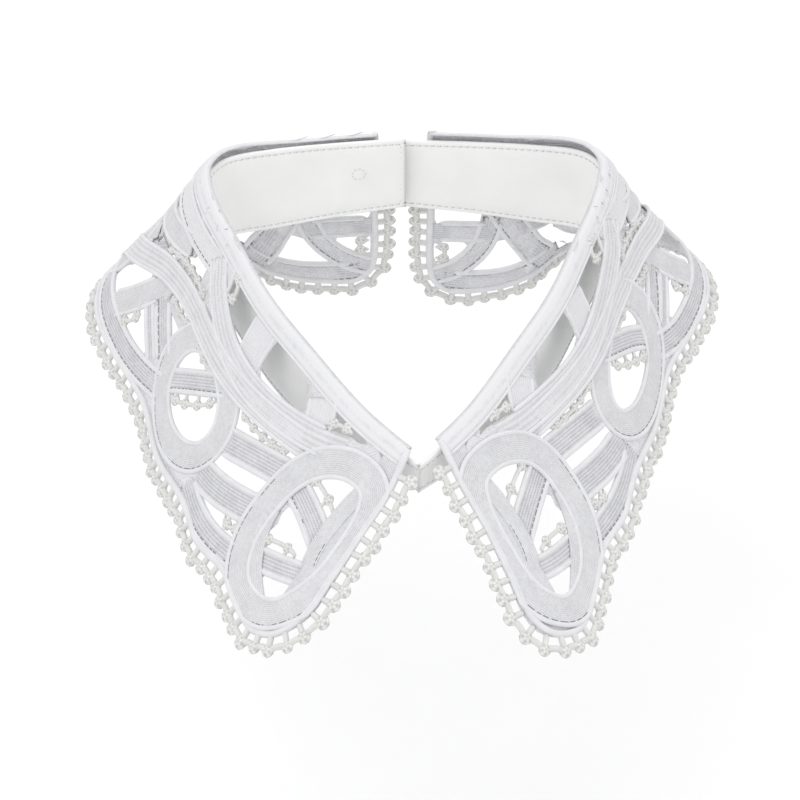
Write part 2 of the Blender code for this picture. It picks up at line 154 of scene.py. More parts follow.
@dataclass(frozen=True)
class Tape:
    """A tape of the lace, laid along an arc of the flat layout.

    An end that lies under another tape has its cords cut back by as many stations as tuck says.
    """

    name: str
    half_width: float
    start: tuple[float, float]
    end: tuple[float, float]
    sag: float
    lies: Lies = LEVEL_LIE
    weave: Weave = Weave.CLOSE
    slits: Slits = Slits.NONE
    lean: float = 0.0
    corded: bool = True
    slits_below: float = 0.0
    tuck: int = 2

    def route(self, samples: int = 64) -> Array:
        """Return the flat points of the tape's middle line."""
        start, end = np.array(self.start), np.array(self.end)
        run = end - start
        across = np.array([-run[1], run[0]]) / np.hypot(*run)
        middle = start + run * (0.5 + self.lean) + 2 * self.sag * across
        t = np.linspace(0, 1, samples)[:, None]
        return (1 - t) ** 2 * start + 2 * t * (1 - t) * middle + t**2 * end


@dataclass(frozen=True)
class LoopTape:
    """A tape laid in a closed loop, narrower below by the share point, its top slid by lean."""

    name: str
    half_width: float
    middle: tuple[float, float]
    half_size: tuple[float, float]
    point: float
    square: float
    lean: float = 0.0
    lies: Lies = LEVEL_LIE
    weave: Weave = Weave.CLOSE
    slits: Slits = Slits.LEFT
    slits_below: float = 0.0

    def route(self, samples: int = 128) -> Array:
        """Return the flat points of the loop, once round."""
        angle = np.linspace(0, 2 * math.pi, samples)
        sine, cosine = np.sin(angle), np.cos(angle)
        sine[-1] = 0.0
        lower = (1 - cosine) / 2
        across = np.sign(sine) * np.abs(sine) ** self.square * (1 - self.point * lower**2)
        down = -np.sign(cosine) * np.abs(cosine) ** self.square
        u = self.middle[0] + self.half_size[0] * across + self.lean * (1 - lower) ** 3
        return np.stack([u, self.middle[1] + self.half_size[1] * down], -1)


@dataclass(frozen=True)
class PicotRow:
    """A row of picots in an opening: knots on a thread that stands off one edge of a tape."""

    name: str
    host: str
    side: int
    span: tuple[float, float]
    knots: int
    stand: float = 2.7
    knot_radius: float = 1.75


NECK_LINE = (
    Station(0, -64.5, 13, 52, 0, 2.2),
    Station(-7.5, -58, 14.5, 50, 0, 2.2),
    Station(-18.5, -45.5, 17, 43, 0, 2.2),
    Station(-31, -26, 20, 39, 0, 2.2),
    Station(-43, -5, 22.5, 33, 0, 2.2),
    Station(-52.5, 19, 24.5, 29, -1, 2.2),
    Station(-59.5, 39, 26, 31, -3, 2.2),
    Station(-60.5, 52, 27, 33, -4.5, 2),
    Station(-54, 60, 27, 26, -5, 1.2),
    Station(-40, 62.5, 27, 12, -4, 0),
    Station(-20, 65, 27, 6, -2, 0),
    Station(0, 66.5, 27, 6, 0, 0),
)

DEPTHS = (
    Depth(0, 62, 61),
    Depth(18, 62, 61),
    Depth(35, 62, 57),
    Depth(55, 62, 55.5),
    Depth(80, 62, 55),
    Depth(100, 62, 55.5),
    Depth(118, 62, 57.5),
    Depth(135, 62, 60),
    Depth(150, 63, 65),
    Depth(170, 62.5, 68),
    Depth(200, 62, 67.5),
)

HALVES = (
    HalfLie("left", 1, 0, 0, 0, 0, 0),
    HalfLie("right", -1, 4.5, 10, -0.12, -0.16, 6),
)

LOOPS = (
    LoopTape("front_loop", 4.9, (22.6, 35.8), (13, 25), 0.1, 0.85, -8, OVER_LIE,
             slits_below=30),
    LoopTape("side_loop", 4.9, (82.1, 38.9), (18.3, 15.4), 0, 1, slits_below=42),
    LoopTape("rear_loop", 4.2, (141.5, 41), (7, 18.5), 0, 1),
)

TAPES = (
    Tape("front_edge", 4, (8, 1), (13, 36), 1, UNDER_LIE, corded=False),
    Tape("front_top", 4.2, (11.5, 4), (17.5, 11), 0, UNDER_LIE, Weave.CLOTH, corded=False),
    Tape("loop_side", 2.7, (11.2, 18), (14.6, 56), 0, OVER_LIE, corded=False),
    Tape("loop_heel", 2.5, (31.8, 36), (21, 58), -2.4, OVER_LIE, corded=False),
    Tape("loop_curl", 2.5, (11, 12), (12.5, 47), -3.1, (Lie.OVER, Lie.HIGH, Lie.LEVEL), Weave.CLOSE,
         Slits.RIGHT, lean=0.12, corded=False, slits_below=30),
    Tape("loop_bar_upper", 4.5, (12, 36.5), (34.5, 26.8), -1.8, TUCKED, Weave.LADDER, Slits.RIGHT),
    Tape("loop_bar_lower", 3.8, (12, 43), (33, 52.2), 0, TUCKED, Weave.LADDER),
    Tape("neck_arc_front", 4.6, (22, 9), (103, 5), 12.8, UNDER_OVER, Weave.SATIN, lean=0.15,
         tuck=7),
    Tape("neck_arc_lower", 4.3, (30, 15.6), (106, 23), 3.6, (Lie.UNDER, Lie.OVER, Lie.UNDER),
         Weave.SATIN, tuck=3),
    Tape("neck_bar_1", 5.4, (38.6, 3.2), (34, 15), 1, TUCKED, Weave.CLOTH, tuck=0),
    Tape("neck_bar_2", 5.8, (69.5, 2.6), (70, 18), 0, TUCKED, Weave.CLOTH, tuck=0),
    Tape("neck_bar_3", 5.8, (98.5, 2.8), (96.5, 17), 1, TUCKED, Weave.CLOTH, tuck=0),
    Tape("ladder_upper", 4.7, (32, 26.3), (63, 37.2), 0, TUCKED, Weave.LADDER),
    Tape("ladder_lower", 5, (32, 39.5), (64, 49), 1.6, TUCKED, Weave.LADDER),
    Tape("hem_arc_front", 4.3, (26, 52), (66, 55), 4.2, TUCKED, Weave.LADDER, Slits.RIGHT),
    Tape("side_bar", 4, (68, 23), (98.5, 47.7), 0, TUCKED, Weave.LADDER, Slits.RIGHT, tuck=4),
    Tape("side_arc", 4.2, (93, 25), (139, 60), -17.5, UNDER_OVER, Weave.SATIN),
    Tape("side_rib_1", 3.7, (101.5, 45.2), (117.5, 31.7), 0, TUCKED, Weave.LADDER, Slits.RIGHT),
    Tape("side_rib_inner", 2.5, (105.3, 49.7), (121.3, 36.2), 0, UNDER_LIE, Weave.LADDER),
    Tape("leaf_cover", 1.9, (100, 32), (118, 29.6), 0, UNDER_LIE, corded=False),
    Tape("slot_post", 1.1, (118.4, 9), (118.4, 20), 0, UNDER_LIE, corded=False),
    Tape("slot_end", 3.4, (129.5, 9), (128.5, 23), 0, UNDER_LIE, corded=False),
    Tape("slot_front", 2.4, (103.4, 9), (103.6, 23), 0, UNDER_LIE, corded=False),
    Tape("slot_sill", 1.6, (102, 19), (126, 18.6), 1, UNDER_LIE, corded=False),
    Tape("side_rib_2", 4.4, (117.2, 26), (131.2, 56), 0, TUCKED, tuck=6),
    Tape("hem_arc_side", 4.5, (95, 49), (140, 53), 3, TUCKED, Weave.LADDER, Slits.BOTH),
    Tape("neck_tape", 4.3, (99, 7.2), (143, 7), 1, TUCKED, Weave.CLOTH, Slits.RIGHT),
    Tape("neck_arc_back", 4.2, (116, 12), (190, 10), 10, LEVEL_LIE),
    Tape("neck_bar_4", 4.5, (150, 2.6), (150, 20), 0, TUCKED, tuck=0),
    Tape("rear_loop_bar", 4.2, (137, 35), (149, 43), 0, UNDER_LIE, Weave.LADDER),
    Tape("corner_rib", 3.8, (133, 25), (137, 50), -1, TUCKED),
    Tape("rear_bar", 5.2, (168, 24), (155.5, 58), 0, TUCKED, Weave.LADDER, Slits.BOTH),
    Tape("rear_rung", 3.5, (147, 38), (163, 36), 0, UNDER_LIE, Weave.LADDER),
    Tape("neck_bar_5", 4, (175.7, 3), (172, 20), 0, TUCKED, tuck=0),
    Tape("back_arc", 4, (171, 30), (192, 55), 5, (Lie.UNDER, Lie.LEVEL, Lie.LEVEL),
         Weave.LADDER, Slits.BOTH),
    Tape("back_bar", 4.6, (170, 36.6), (192, 36.2), 0, TUCKED, Weave.LADDER),
    Tape("hem_arc_rear", 4.6, (152, 56), (188, 56), 1, TUCKED, Weave.LADDER, Slits.BOTH),
)

OUTER_CORD = (
    (4.5, -ROLL), (5, 10), (7, 25), (8, 40), (9, 53), (12.5, 62.5),
    (19, 66.5), (26, 64.5), (34, 61.5), (47, 63.2), (63, 60.5), (80, 62),
    (97, 60), (112, 59), (129, 60.5), (145, 62), (160, 61), (176, 61.5),
    (187, 61), (192.5, 55), (193, 30), (193, -ROLL),
)

BACK_POST = Tape("back_post", 0.4, (190.4, 41), (190.4, 50), 0)

PICOT_ROWS = (
    PicotRow("loop_upper", "loop_bar_upper", -1, (0.16, 0.84), 3),
    PicotRow("loop_lower", "loop_bar_lower", -1, (0.3, 0.86), 2, 2.4),
    PicotRow("neck_front", "neck_arc_front", -1, (0, 0.09), 2, 1.5),
    PicotRow("neck_eye", "neck_bar_3", 1, (0.12, 0.62), 2, 3.6),
    PicotRow("crescent", "neck_arc_lower", 1, (0.12, 0.42), 5, 1.5, 1.6),
    PicotRow("hem_front", "ladder_lower", 1, (0.2, 0.42), 2, 2.3),
    PicotRow("side_loop", "side_bar", 1, (0.22, 0.8), 4),
    PicotRow("side_top", "neck_arc_lower", 1, (0.66, 0.84), 3, 1.4, 1.6),
    PicotRow("arc_side", "side_arc", 1, (0.08, 0.27), 3, 2.2, 1.6),
    PicotRow("triangle", "side_rib_2", 1, (0.46, 0.72), 2, 2.3),
    PicotRow("neck_slots", "side_arc", -1, (0.1, 0.44), 6, 2, 1.6),
    PicotRow("back_eye", "back_post", 1, (0.05, 0.95), 2, 2.6),
)


def smooth_curve(keys: Array, rows: Array, at: Array) -> Array:
    """Read a cubic curve through rows at the given keys.

    Args:
        keys: Rising keys, one for each row.
        rows: Values that the curve passes through.
        at: Keys to read it at.

    Returns:
        One row of values for each key in at.
    """
    keys = np.asarray(keys, float)
    rows = np.asarray(rows, float)
    at = np.clip(np.asarray(at, float), keys[0], keys[-1])
    slopes = np.empty_like(rows)
    slopes[1:-1] = (rows[2:] - rows[:-2]) / (keys[2:] - keys[:-2])[:, None]
    slopes[0] = (rows[1] - rows[0]) / (keys[1] - keys[0])
    slopes[-1] = (rows[-1] - rows[-2]) / (keys[-1] - keys[-2])
    i = np.clip(np.searchsorted(keys, at, side="right") - 1, 0, len(keys) - 2)
    step = (keys[i + 1] - keys[i])[..., None]
    t = (at - keys[i])[..., None] / step
    rise = t * t * (3 - 2 * t)
    value = rows[i] * (1 - rise) + rows[i + 1] * rise
    return value + slopes[i] * step * t * (1 - t) ** 2 - slopes[i + 1] * step * t * t * (1 - t)


def lengths_along(points: Array) -> Array:
    """Return the distance of each point from the first, along the line."""
    steps = np.linalg.norm(np.diff(points, axis=0), axis=1)
    return np.concatenate([[0.0], np.cumsum(steps)])


def smoothstep(value: Array, low: float, high: float) -> Array:
    """Rise smoothly from 0 at low to 1 at high."""
    t = np.clip((np.asarray(value, float) - low) / (high - low), 0.0, 1.0)
    return t * t * (3 - 2 * t)


def unit(vectors: Array) -> Array:
    """Return the vectors at length 1."""
    return vectors / np.maximum(np.linalg.norm(vectors, axis=-1, keepdims=True), 1e-12)


def read_columns(at: Array, keys: Array, rows: Array) -> Array:
    """Read each column of rows at the given keys, in straight steps."""
    return np.stack([np.interp(at, keys, column) for column in rows.T], -1)


def thread_layout(along: Array, across: Array) -> Array:
    """Pair the millimetres along a piece with its turns, ribs or heights across."""
    return np.stack(np.broadcast_arrays(along[:, None], across), -1)


def drawn_to_ends(count: int, size: float) -> Array:
    """Return one size for each station, with 0 at both ends."""
    sizes = np.full(count, size)
    sizes[[0, -1]] = 0.0
    return sizes


def show(name: str, data: bpy.types.ID) -> bpy.types.Object:
    """Make an object of the data and put it in the scene."""
    obj = bpy.data.objects.new(name, data)
    bpy.context.scene.collection.objects.link(obj)
    return obj


class NeckLine:
    """Half a ring round the neck, read by its length u from the centre front."""

    FINE = 2001
    FRONT_TANGENT = (-1.0, 0.35)
    FRONT_BLEND = 6.0
    SMOOTHING = 41

    def __init__(self, stations: Sequence[Station]) -> None:
        """Trace the neck line through its stations."""
        rows = np.array([tuple(vars(s).values()) for s in stations], float)
        keys = lengths_along(rows[:, :3])
        fine = smooth_curve(keys, rows, np.linspace(0, keys[-1], self.FINE))
        self.points = fine[:, :3]
        self.slope = np.radians(fine[:, 3])
        self.band_bottom = fine[:, 4]
        self.fold_drop = fine[:, 5]
        self.u = lengths_along(self.points)
        self.length = float(self.u[-1])
        self.tangents = self._smoothed_tangents()

    def _smoothed_tangents(self) -> Array:
        """Return level tangents with the corners eased."""
        tangents = np.gradient(self.points[:, :2], self.u, axis=0)
        blend = np.exp(-self.u / self.FRONT_BLEND)[:, None]
        tangents = tangents * (1 - blend) + blend * np.array(self.FRONT_TANGENT)
        kernel = np.hanning(self.SMOOTHING)
        kernel /= kernel.sum()
        half = self.SMOOTHING // 2
        for _ in range(3):
            padded = np.pad(tangents, ((half, half), (0, 0)), mode="edge")
            tangents = np.stack([np.convolve(column, kernel, "valid") for column in padded.T], -1)
        return unit(tangents)

    def read(self, u: Array, values: Array) -> Array:
        """Read one of the line's tables at u."""
        u = np.clip(u, 0, self.length)
        if values.ndim == 1:
            return np.interp(u, self.u, values)
        return read_columns(u, self.u, values)

    def outward(self, u: Array) -> Array:
        """Return the level direction away from the neck at u."""
        tangent = self.read(u, self.tangents)
        flat = np.stack([-tangent[..., 1], tangent[..., 0], np.zeros_like(tangent[..., 0])], -1)
        return unit(flat)


NECK = NeckLine(NECK_LINE)


class Closure:
    """The lapped ends at the centre back: how far the outer end stands off, and drops."""

    STEP = 3.1
    START = 128.0
    END = 172.0
    LACE_DROP = 1.2
    BAND_DROP = 0.97
    BAND_DIP = 0.7
    END_LAP = 1.0
    TAIL = 18.0

    @classmethod
    def step(cls, u: Array) -> Array:
        """Return how far the outer layer stands off the neck line at u."""
        return cls.STEP * smoothstep(u, cls.START, cls.END)


class Fall:
    """The surface that one lace half lies on, read from the flat layout."""

    ROLL_TOP = math.radians(98)
    HOLLOW = 1.2
    HOLLOW_LENGTH = 50.0
    INNER = -1.5
    SHIFT_RISE = (10.0, 60.0)
    SHIFT_FADE = (150.0, 190.0)
    BULGE_MIDDLE = 91.0
    BULGE_REACH = 16.0
    PROBE = 0.4
    FEWEST_STEPS = 4

    def __init__(self, half: HalfLie) -> None:
        """Set out the fall of one half."""
        self.half = half
        self.depth_keys = np.array([d.u for d in DEPTHS], float)
        self.depths = np.array([[getattr(d, half.name)] for d in DEPTHS], float)

    def point(self, u: Array, v: Array) -> Array:
        """Return places on the lace's inner face, in millimetres."""
        u, v = np.asarray(u, float), np.asarray(v, float)
        half = self.half
        depth = smooth_curve(self.depth_keys, self.depths, u)[..., 0]
        rise = smoothstep(u, *self.SHIFT_RISE)
        shift = half.shift_front + (half.shift_side - half.shift_front) * rise
        shift = shift + half.bulge * np.exp(-(((u - self.BULGE_MIDDLE) / self.BULGE_REACH) ** 2))
        lean = half.lean_front + (half.lean_side - half.lean_front) * rise
        fade = 1 - smoothstep(u, *self.SHIFT_FADE)
        along = np.clip(u + (shift + lean * np.clip(v, 0, None)) * fade, 0, NECK.length)
        v = np.where(v > 0, v * depth / FALL, v)
        out, up = self._profile(NECK.read(along, NECK.slope), v)
        step = Closure.step(along)
        offset = out + self.INNER + step
        point = NECK.read(along, NECK.points) + NECK.outward(along) * offset[..., None]
        drop = NECK.read(along, NECK.fold_drop) + Closure.LACE_DROP * step**2 / Closure.STEP
        point[..., 2] += up - drop
        point[..., 0] *= half.mirror
        return point

    def _profile(self, slope: Array, v: Array) -> tuple[Array, Array]:
        """Return outward and upward offsets at distance v below the fold; v < 0 is the roll."""
        turn = (self.ROLL_TOP - slope) / ROLL
        back, down = np.clip(-v, 0, None), np.clip(v, 0, None)
        roll_out = (np.cos(slope + turn * back) - np.cos(slope)) / turn
        roll_up = (np.sin(slope + turn * back) - np.sin(slope)) / turn
        dip = -self.HOLLOW * np.sin(np.pi * np.clip(down / self.HOLLOW_LENGTH, 0, 1)) ** 2
        out = roll_out + down * np.sin(slope) + dip * np.cos(slope)
        up = roll_up - down * np.cos(slope) + dip * np.sin(slope)
        return out, up

    def grain(self, u: Array, v: Array) -> tuple[Array, Array]:
        """Return how the place changes for a millimetre of u and of v."""
        h = self.PROBE
        along = (self.point(u + h, v) - self.point(u - h, v)) / (2 * h)
        down = (self.point(u, v + h) - self.point(u, v - h)) / (2 * h)
        return along, down

    def normal(self, u: Array, v: Array) -> Array:
        """Return the direction away from the wearer."""
        along, down = self.grain(u, v)
        return unit(np.cross(along, down) * self.half.mirror)

    def sideways(self, flat: Array) -> Array:
        """Return the flat step that is one real millimetre to the right of the line's run."""
        along, down = self.grain(flat[:, 0], flat[:, 1])
        place = self.point(flat[:, 0], flat[:, 1])
        tangent = unit(np.gradient(place, axis=0))
        normal = unit(np.cross(along, down) * self.half.mirror)
        across = unit(np.cross(tangent, normal))
        a11 = np.sum(along * along, -1)
        a12 = np.sum(along * down, -1)
        a22 = np.sum(down * down, -1)
        b1 = np.sum(along * across, -1)
        b2 = np.sum(down * across, -1)
        det = np.maximum(a11 * a22 - a12 * a12, 1e-6)
        step = np.stack([(b1 * a22 - b2 * a12) / det, (b2 * a11 - b1 * a12) / det], -1)
        run = np.gradient(flat, axis=0)
        facing = -run[:, 1] * step[:, 0] + run[:, 0] * step[:, 1]
        return step * np.sign(facing)[:, None]

    def place(self, flat: Array, across: Array, height: Array) -> Array:
        """Carry sections onto the fall.

        Args:
            flat: The line's flat points, one for each station.
            across: Millimetres to the right of the line, one row for each station.
            height: Millimetres above the inner face, in the same shape.

        Returns:
            The places in millimetres, with a last axis of 3.
        """
        return self.lift(self.beside(flat, across), height)

    def beside(self, flat: Array, across: Array) -> Array:
        """Return the flat places that lie across a line, one row for each of its points."""
        return flat[:, None] + across[..., None] * self.sideways(flat)[:, None]

    def lift(self, flat: Array, height: Array) -> Array:
        """Return the places above flat points, in millimetres."""
        u, v = flat[..., 0], flat[..., 1]
        return self.point(u, v) + self.normal(u, v) * height[..., None]

    def respaced(self, flat: Array, spacing: float) -> Array:
        """Space a flat line's points by their real distance on the fall."""
        keys = self.measured(flat)
        count = max(self.FEWEST_STEPS, round(keys[-1] / spacing))
        return read_columns(np.linspace(0, keys[-1], count + 1), keys, flat)

    def measured(self, flat: Array) -> Array:
        """Return the real distance of each of a flat line's points from its first."""
        return lengths_along(self.point(flat[:, 0], flat[:, 1]))


def joined_by(operation: str, swapped: bool = False) -> Callable[[Wire, Wire | float], Wire]:
    """Return a method that joins a wire and a value with one Math node.

    Args:
        operation: What the node does.
        swapped: Whether the value comes before the wire.

    Returns:
        The method.
    """
    def join(self: Wire, other: Wire | float) -> Wire:
        pair = (other, self) if swapped else (self, other)
        return self.bench.math(operation, *pair)
    return join


class Wire:
    """A shader socket that adds Math nodes when it is used in an expression."""

    __add__ = joined_by("ADD")
    __radd__ = joined_by("ADD", swapped=True)
    __sub__ = joined_by("SUBTRACT")
    __rsub__ = joined_by("SUBTRACT", swapped=True)
    __mul__ = joined_by("MULTIPLY")
    __rmul__ = joined_by("MULTIPLY", swapped=True)
    __truediv__ = joined_by("DIVIDE")
    __gt__ = joined_by("GREATER_THAN")
    __lt__ = joined_by("LESS_THAN")
    modulo = joined_by("MODULO")

    def __init__(self, bench: Bench, socket: bpy.types.NodeSocket) -> None:
        """Keep the socket and the bench that it belongs to."""
        self.bench = bench
        self.socket = socket

    def fraction(self) -> Wire:
        """Return the part after the point."""
        return self.bench.math("FRACT", self)

    def floor(self) -> Wire:
        """Return the whole part."""
        return self.bench.math("FLOOR", self)

    def wave(self) -> Wire:
        """Return a wave between 0 and 1 that is 0 at whole numbers."""
        return 0.5 - 0.5 * self.bench.math("COSINE", self * (2 * math.pi))


class Bench:
    """Builds the nodes of one material."""

    def __init__(self, name: str) -> None:
        """Start an empty material with a shader and an output."""
        self.material = bpy.data.materials.new(name)
        self.material.use_nodes = True
        self.tree = self.material.node_tree
        self.tree.nodes.clear()
        self.shader = self.node("ShaderNodeBsdfPrincipled")
        out = self.node("ShaderNodeOutputMaterial")
        self.tree.links.new(self.shader.outputs["BSDF"], out.inputs["Surface"])

    def node(self, kind: str, settings: dict | None = None, **sockets: object) -> bpy.types.Node:
        """Add a node.

        Args:
            kind: The node's type.
            settings: Its own settings, set before its sockets.
            **sockets: Values or links, with spaces in a socket's name written as underscores.

        Returns:
            The new node.
        """
        node = self.tree.nodes.new(kind)
        for key, value in (settings or {}).items():
            setattr(node, key, value)
        for key, value in sockets.items():
            self.feed(node.inputs[key.replace("_", " ")], value)
        return node

    def feed(self, target: bpy.types.NodeSocket, value: object) -> None:
        """Link a wire or socket to a socket, or set its value."""
        if isinstance(value, Wire):
            value = value.socket
        if isinstance(value, bpy.types.NodeSocket):
            self.tree.links.new(value, target)
        else:
            target.default_value = value

    def math(self, operation: str, *values: Wire | float) -> Wire:
        """Add a Math node on the values."""
        node = self.tree.nodes.new("ShaderNodeMath")
        node.operation = operation
        for target, value in zip(node.inputs, values):
            self.feed(target, value)
        return Wire(self, node.outputs[0])

    def blend(self, share: Wire | float, low: object, high: object) -> bpy.types.NodeSocket:
        """Mix two colours."""
        node = self.node("ShaderNodeMix", {"data_type": "RGBA"})
        self.feed(node.inputs["Factor"], share)
        self.feed(node.inputs[6], low)
        self.feed(node.inputs[7], high)
        return node.outputs[2]

    def thread(self) -> tuple[Wire, Wire]:
        """Return the piece's own thread layout: millimetres along, and turns or ribs across."""
        layout = self.node("ShaderNodeUVMap", {"uv_map": "thread"})
        parts = self.node("ShaderNodeSeparateXYZ", None, Vector=layout.outputs["UV"])
        return Wire(self, parts.outputs["X"]), Wire(self, parts.outputs["Y"])

    def mark(self, name: str) -> Wire:
        """Return one of the mesh's own marks."""
        node = self.node("ShaderNodeAttribute", {"attribute_name": name})
        return Wire(self, node.outputs["Fac"])

    def cloud(self, scale: float, detail: float = 2.0) -> Wire:
        """Return soft noise fixed to the piece."""
        place = self.node("ShaderNodeTexCoord")
        noise = self.node("ShaderNodeTexNoise", None, Vector=place.outputs["Object"])
        noise.inputs["Scale"].default_value = scale
        noise.inputs["Detail"].default_value = detail
        return Wire(self, noise.outputs["Fac"])

    def finish(self, colour: object, height: Wire, depth: float, roughness: Wire | float,
               sheen: float) -> bpy.types.Material:
        """Wire the shader.

        Args:
            colour: The base colour.
            height: The relief, from 0 to 1.
            depth: What a relief of 1 is, in metres.
            roughness: A value or a wire.
            sheen: The weight of the soft sheen of loose fibres.

        Returns:
            The finished material.
        """
        bump = self.node("ShaderNodeBump", None, Height=height)
        bump.inputs["Strength"].default_value = 1.0
        bump.inputs["Distance"].default_value = depth
        self.feed(self.shader.inputs["Base Color"], colour)
        self.feed(self.shader.inputs["Roughness"], roughness)
        self.feed(self.shader.inputs["Normal"], bump.outputs["Normal"])
        self.shader.inputs["Specular IOR Level"].default_value = 0.25
        self.shader.inputs["Sheen Weight"].default_value = sheen
        self.shader.inputs["Sheen Roughness"].default_value = 0.5
        return self.material


Colour = tuple[float, float, float, float]


@dataclass(frozen=True)
class TapeFinish:
    """The woven middle of a tape: long ribs crossed by fine picks, and a row of slits; its valleys,
    gaps and slits are painted dark as shade.
    """

    name: str = "woven_tape"
    crown: Colour = (0.70, 0.70, 0.72, 1.0)
    # Painted shade: the colour of the rib valleys, and the darker valleys of open weaves where
    # shade shows in the gaps.
    valley_shade: Colour = (0.40, 0.40, 0.42, 1.0)
    ladder_valley: Colour = (0.30, 0.30, 0.325, 1.0)
    # Painted shade: the dark of the slits.
    slit: Colour = (0.14, 0.14, 0.15, 1.0)
    pick_pitch: float = 0.95
    slit_pitch: float = 2.3
    slit_share: float = 0.72
    relief: float = 0.00011

    def dress(self) -> bpy.types.Material:
        """Return the tape's material."""
        bench = Bench(self.name)
        along, rib = bench.thread()
        row = rib.floor().modulo(2.0)
        pick = (along / self.pick_pitch + row * 0.5).wave()
        weave = rib.wave() * (0.5 + 0.5 * pick)
        # How open the weave is sets how much painted shade darkens its gaps and its whole tape.
        ladder = bench.mark("ladder")
        cloud = bench.cloud(170.0)
        # The slits are painted dark as shade in broken dashes, and sunk in the relief.
        dash = (along / self.slit_pitch + cloud * 1.6).fraction() < self.slit_share
        slits = (bench.mark("slit") > 0.5) * dash * (bench.cloud(90.0) > 0.42)
        fine = bench.cloud(900.0)
        low = bench.blend(ladder, self.valley_shade, self.ladder_valley)
        share = weave * 0.5 + cloud * 0.42 + fine * 0.55 + (1.0 - ladder) * 0.12
        cloth = bench.blend(share, low, self.crown)
        colour = bench.blend(slits * 0.8, cloth, self.slit)
        height = weave * 0.8 + fine * 0.7 - slits * 1.5
        return bench.finish(colour, height, self.relief, 0.82 + 0.1 * cloud, 0.2)


@dataclass(frozen=True)
class CordFinish:
    """A round cord, closely wrapped with thread."""

    name: str = "wrapped_cord"
    bright: Colour = (0.78, 0.78, 0.80, 1.0)
    shade: Colour = (0.60, 0.60, 0.62, 1.0)
    wrap_pitch: float = 0.62
    relief: float = 0.00006

    def dress(self) -> bpy.types.Material:
        """Return the cord's material."""
        bench = Bench(self.name)
        along, turn = bench.thread()
        cloud = bench.cloud(260.0, 3.0)
        wrap = (along / self.wrap_pitch + turn + cloud * 0.5).wave()
        share = wrap * 0.3 + cloud * 0.75
        colour = bench.blend(share, self.shade, self.bright)
        return bench.finish(colour, wrap * 0.5 + cloud * 0.8, self.relief, 0.8 + 0.1 * cloud, 0.25)


@dataclass(frozen=True)
class PicotFinish:
    """Knots of wound thread, with petals round their middles, on plain wound threads."""

    name: str = "knotted_thread"
    bright: Colour = (0.76, 0.76, 0.745, 1.0)
    shade: Colour = (0.38, 0.38, 0.365, 1.0)
    petals: float = 5.0
    relief: float = 0.00016

    def dress(self) -> bpy.types.Material:
        """Return the picots' material."""
        bench = Bench(self.name)
        along, turn = bench.thread()
        knot = bench.mark("knot")
        petal = (along * self.petals).wave() * 0.5 + (turn * 4.0).wave() * 0.3
        cloud = bench.cloud(420.0, 3.0)
        wound = knot * petal + (1.0 - knot) * 0.5 + cloud * 0.45
        colour = bench.blend(wound, self.shade, self.bright)
        return bench.finish(colour, wound, self.relief, 0.85, 0.25)


@dataclass(frozen=True)
class CottonFinish:
    """Plain-woven white cotton, with needle holes along its stitched rows, painted dark as shade.
    """

    name: str = "plain_cotton"
    bright: Colour = (0.86, 0.865, 0.855, 1.0)
    shade: Colour = (0.76, 0.765, 0.755, 1.0)
    hole_shade: Colour = (0.30, 0.30, 0.29, 1.0)
    thread_pitch: float = 0.55
    stitch: float = 2.05
    relief: float = 0.00005

    def dress(self) -> bpy.types.Material:
        """Return the band's material."""
        bench = Bench(self.name)
        along, up = bench.thread()
        warp = (along / self.thread_pitch).wave()
        weft = (up / self.thread_pitch).wave()
        weave = warp * weft + (1 - warp) * (1 - weft)
        cloud = bench.cloud(90.0, 3.0)
        seam = bench.mark("seam")
        # The needle holes are painted dark as shade, and sunk in the relief.
        holes = (seam > 0.55) * ((along / self.stitch).fraction() < 0.26)
        cloth = bench.blend(cloud * 0.7 + weave * 0.3, self.shade, self.bright)
        colour = bench.blend(holes * 0.8, cloth, self.hole_shade)
        height = weave * 0.6 + cloud * 1.2 - seam * 1.5 - holes * 3.0
        return bench.finish(colour, height, self.relief, 0.84 + 0.08 * cloud, 0.15)


@dataclass(frozen=True)
class NetFinish:
    """The fine ground of crossed threads that holds the tapes together."""

    name: str = "thread_ground"
    bright: Colour = (0.84, 0.84, 0.865, 1.0)
    shade: Colour = (0.50, 0.50, 0.52, 1.0)
    relief: float = 0.0002

    def dress(self) -> bpy.types.Material:
        """Return the ground's material."""
        bench = Bench(self.name)
        cloud = bench.cloud(150.0)
        fine = bench.cloud(1500.0, 2.0)
        mesh = fine * 1.6 - 0.35
        colour = bench.blend(mesh * 0.8 + cloud * 0.3, self.shade, self.bright)
        return bench.finish(colour, mesh, self.relief, 0.88, 0.2)


@dataclass(frozen=True)
class ResinFinish:
    """The matt white resin of the press stud."""

    name: str = "stud_resin"
    bright: Colour = (0.84, 0.84, 0.82, 1.0)
    shade: Colour = (0.74, 0.74, 0.72, 1.0)

    def dress(self) -> bpy.types.Material:
        """Return the stud's material."""
        bench = Bench(self.name)
        cloud = bench.cloud(600.0, 3.0)
        colour = bench.blend(cloud, self.shade, self.bright)
        return bench.finish(colour, cloud, 0.00004, 0.32 + 0.12 * cloud, 0.0)


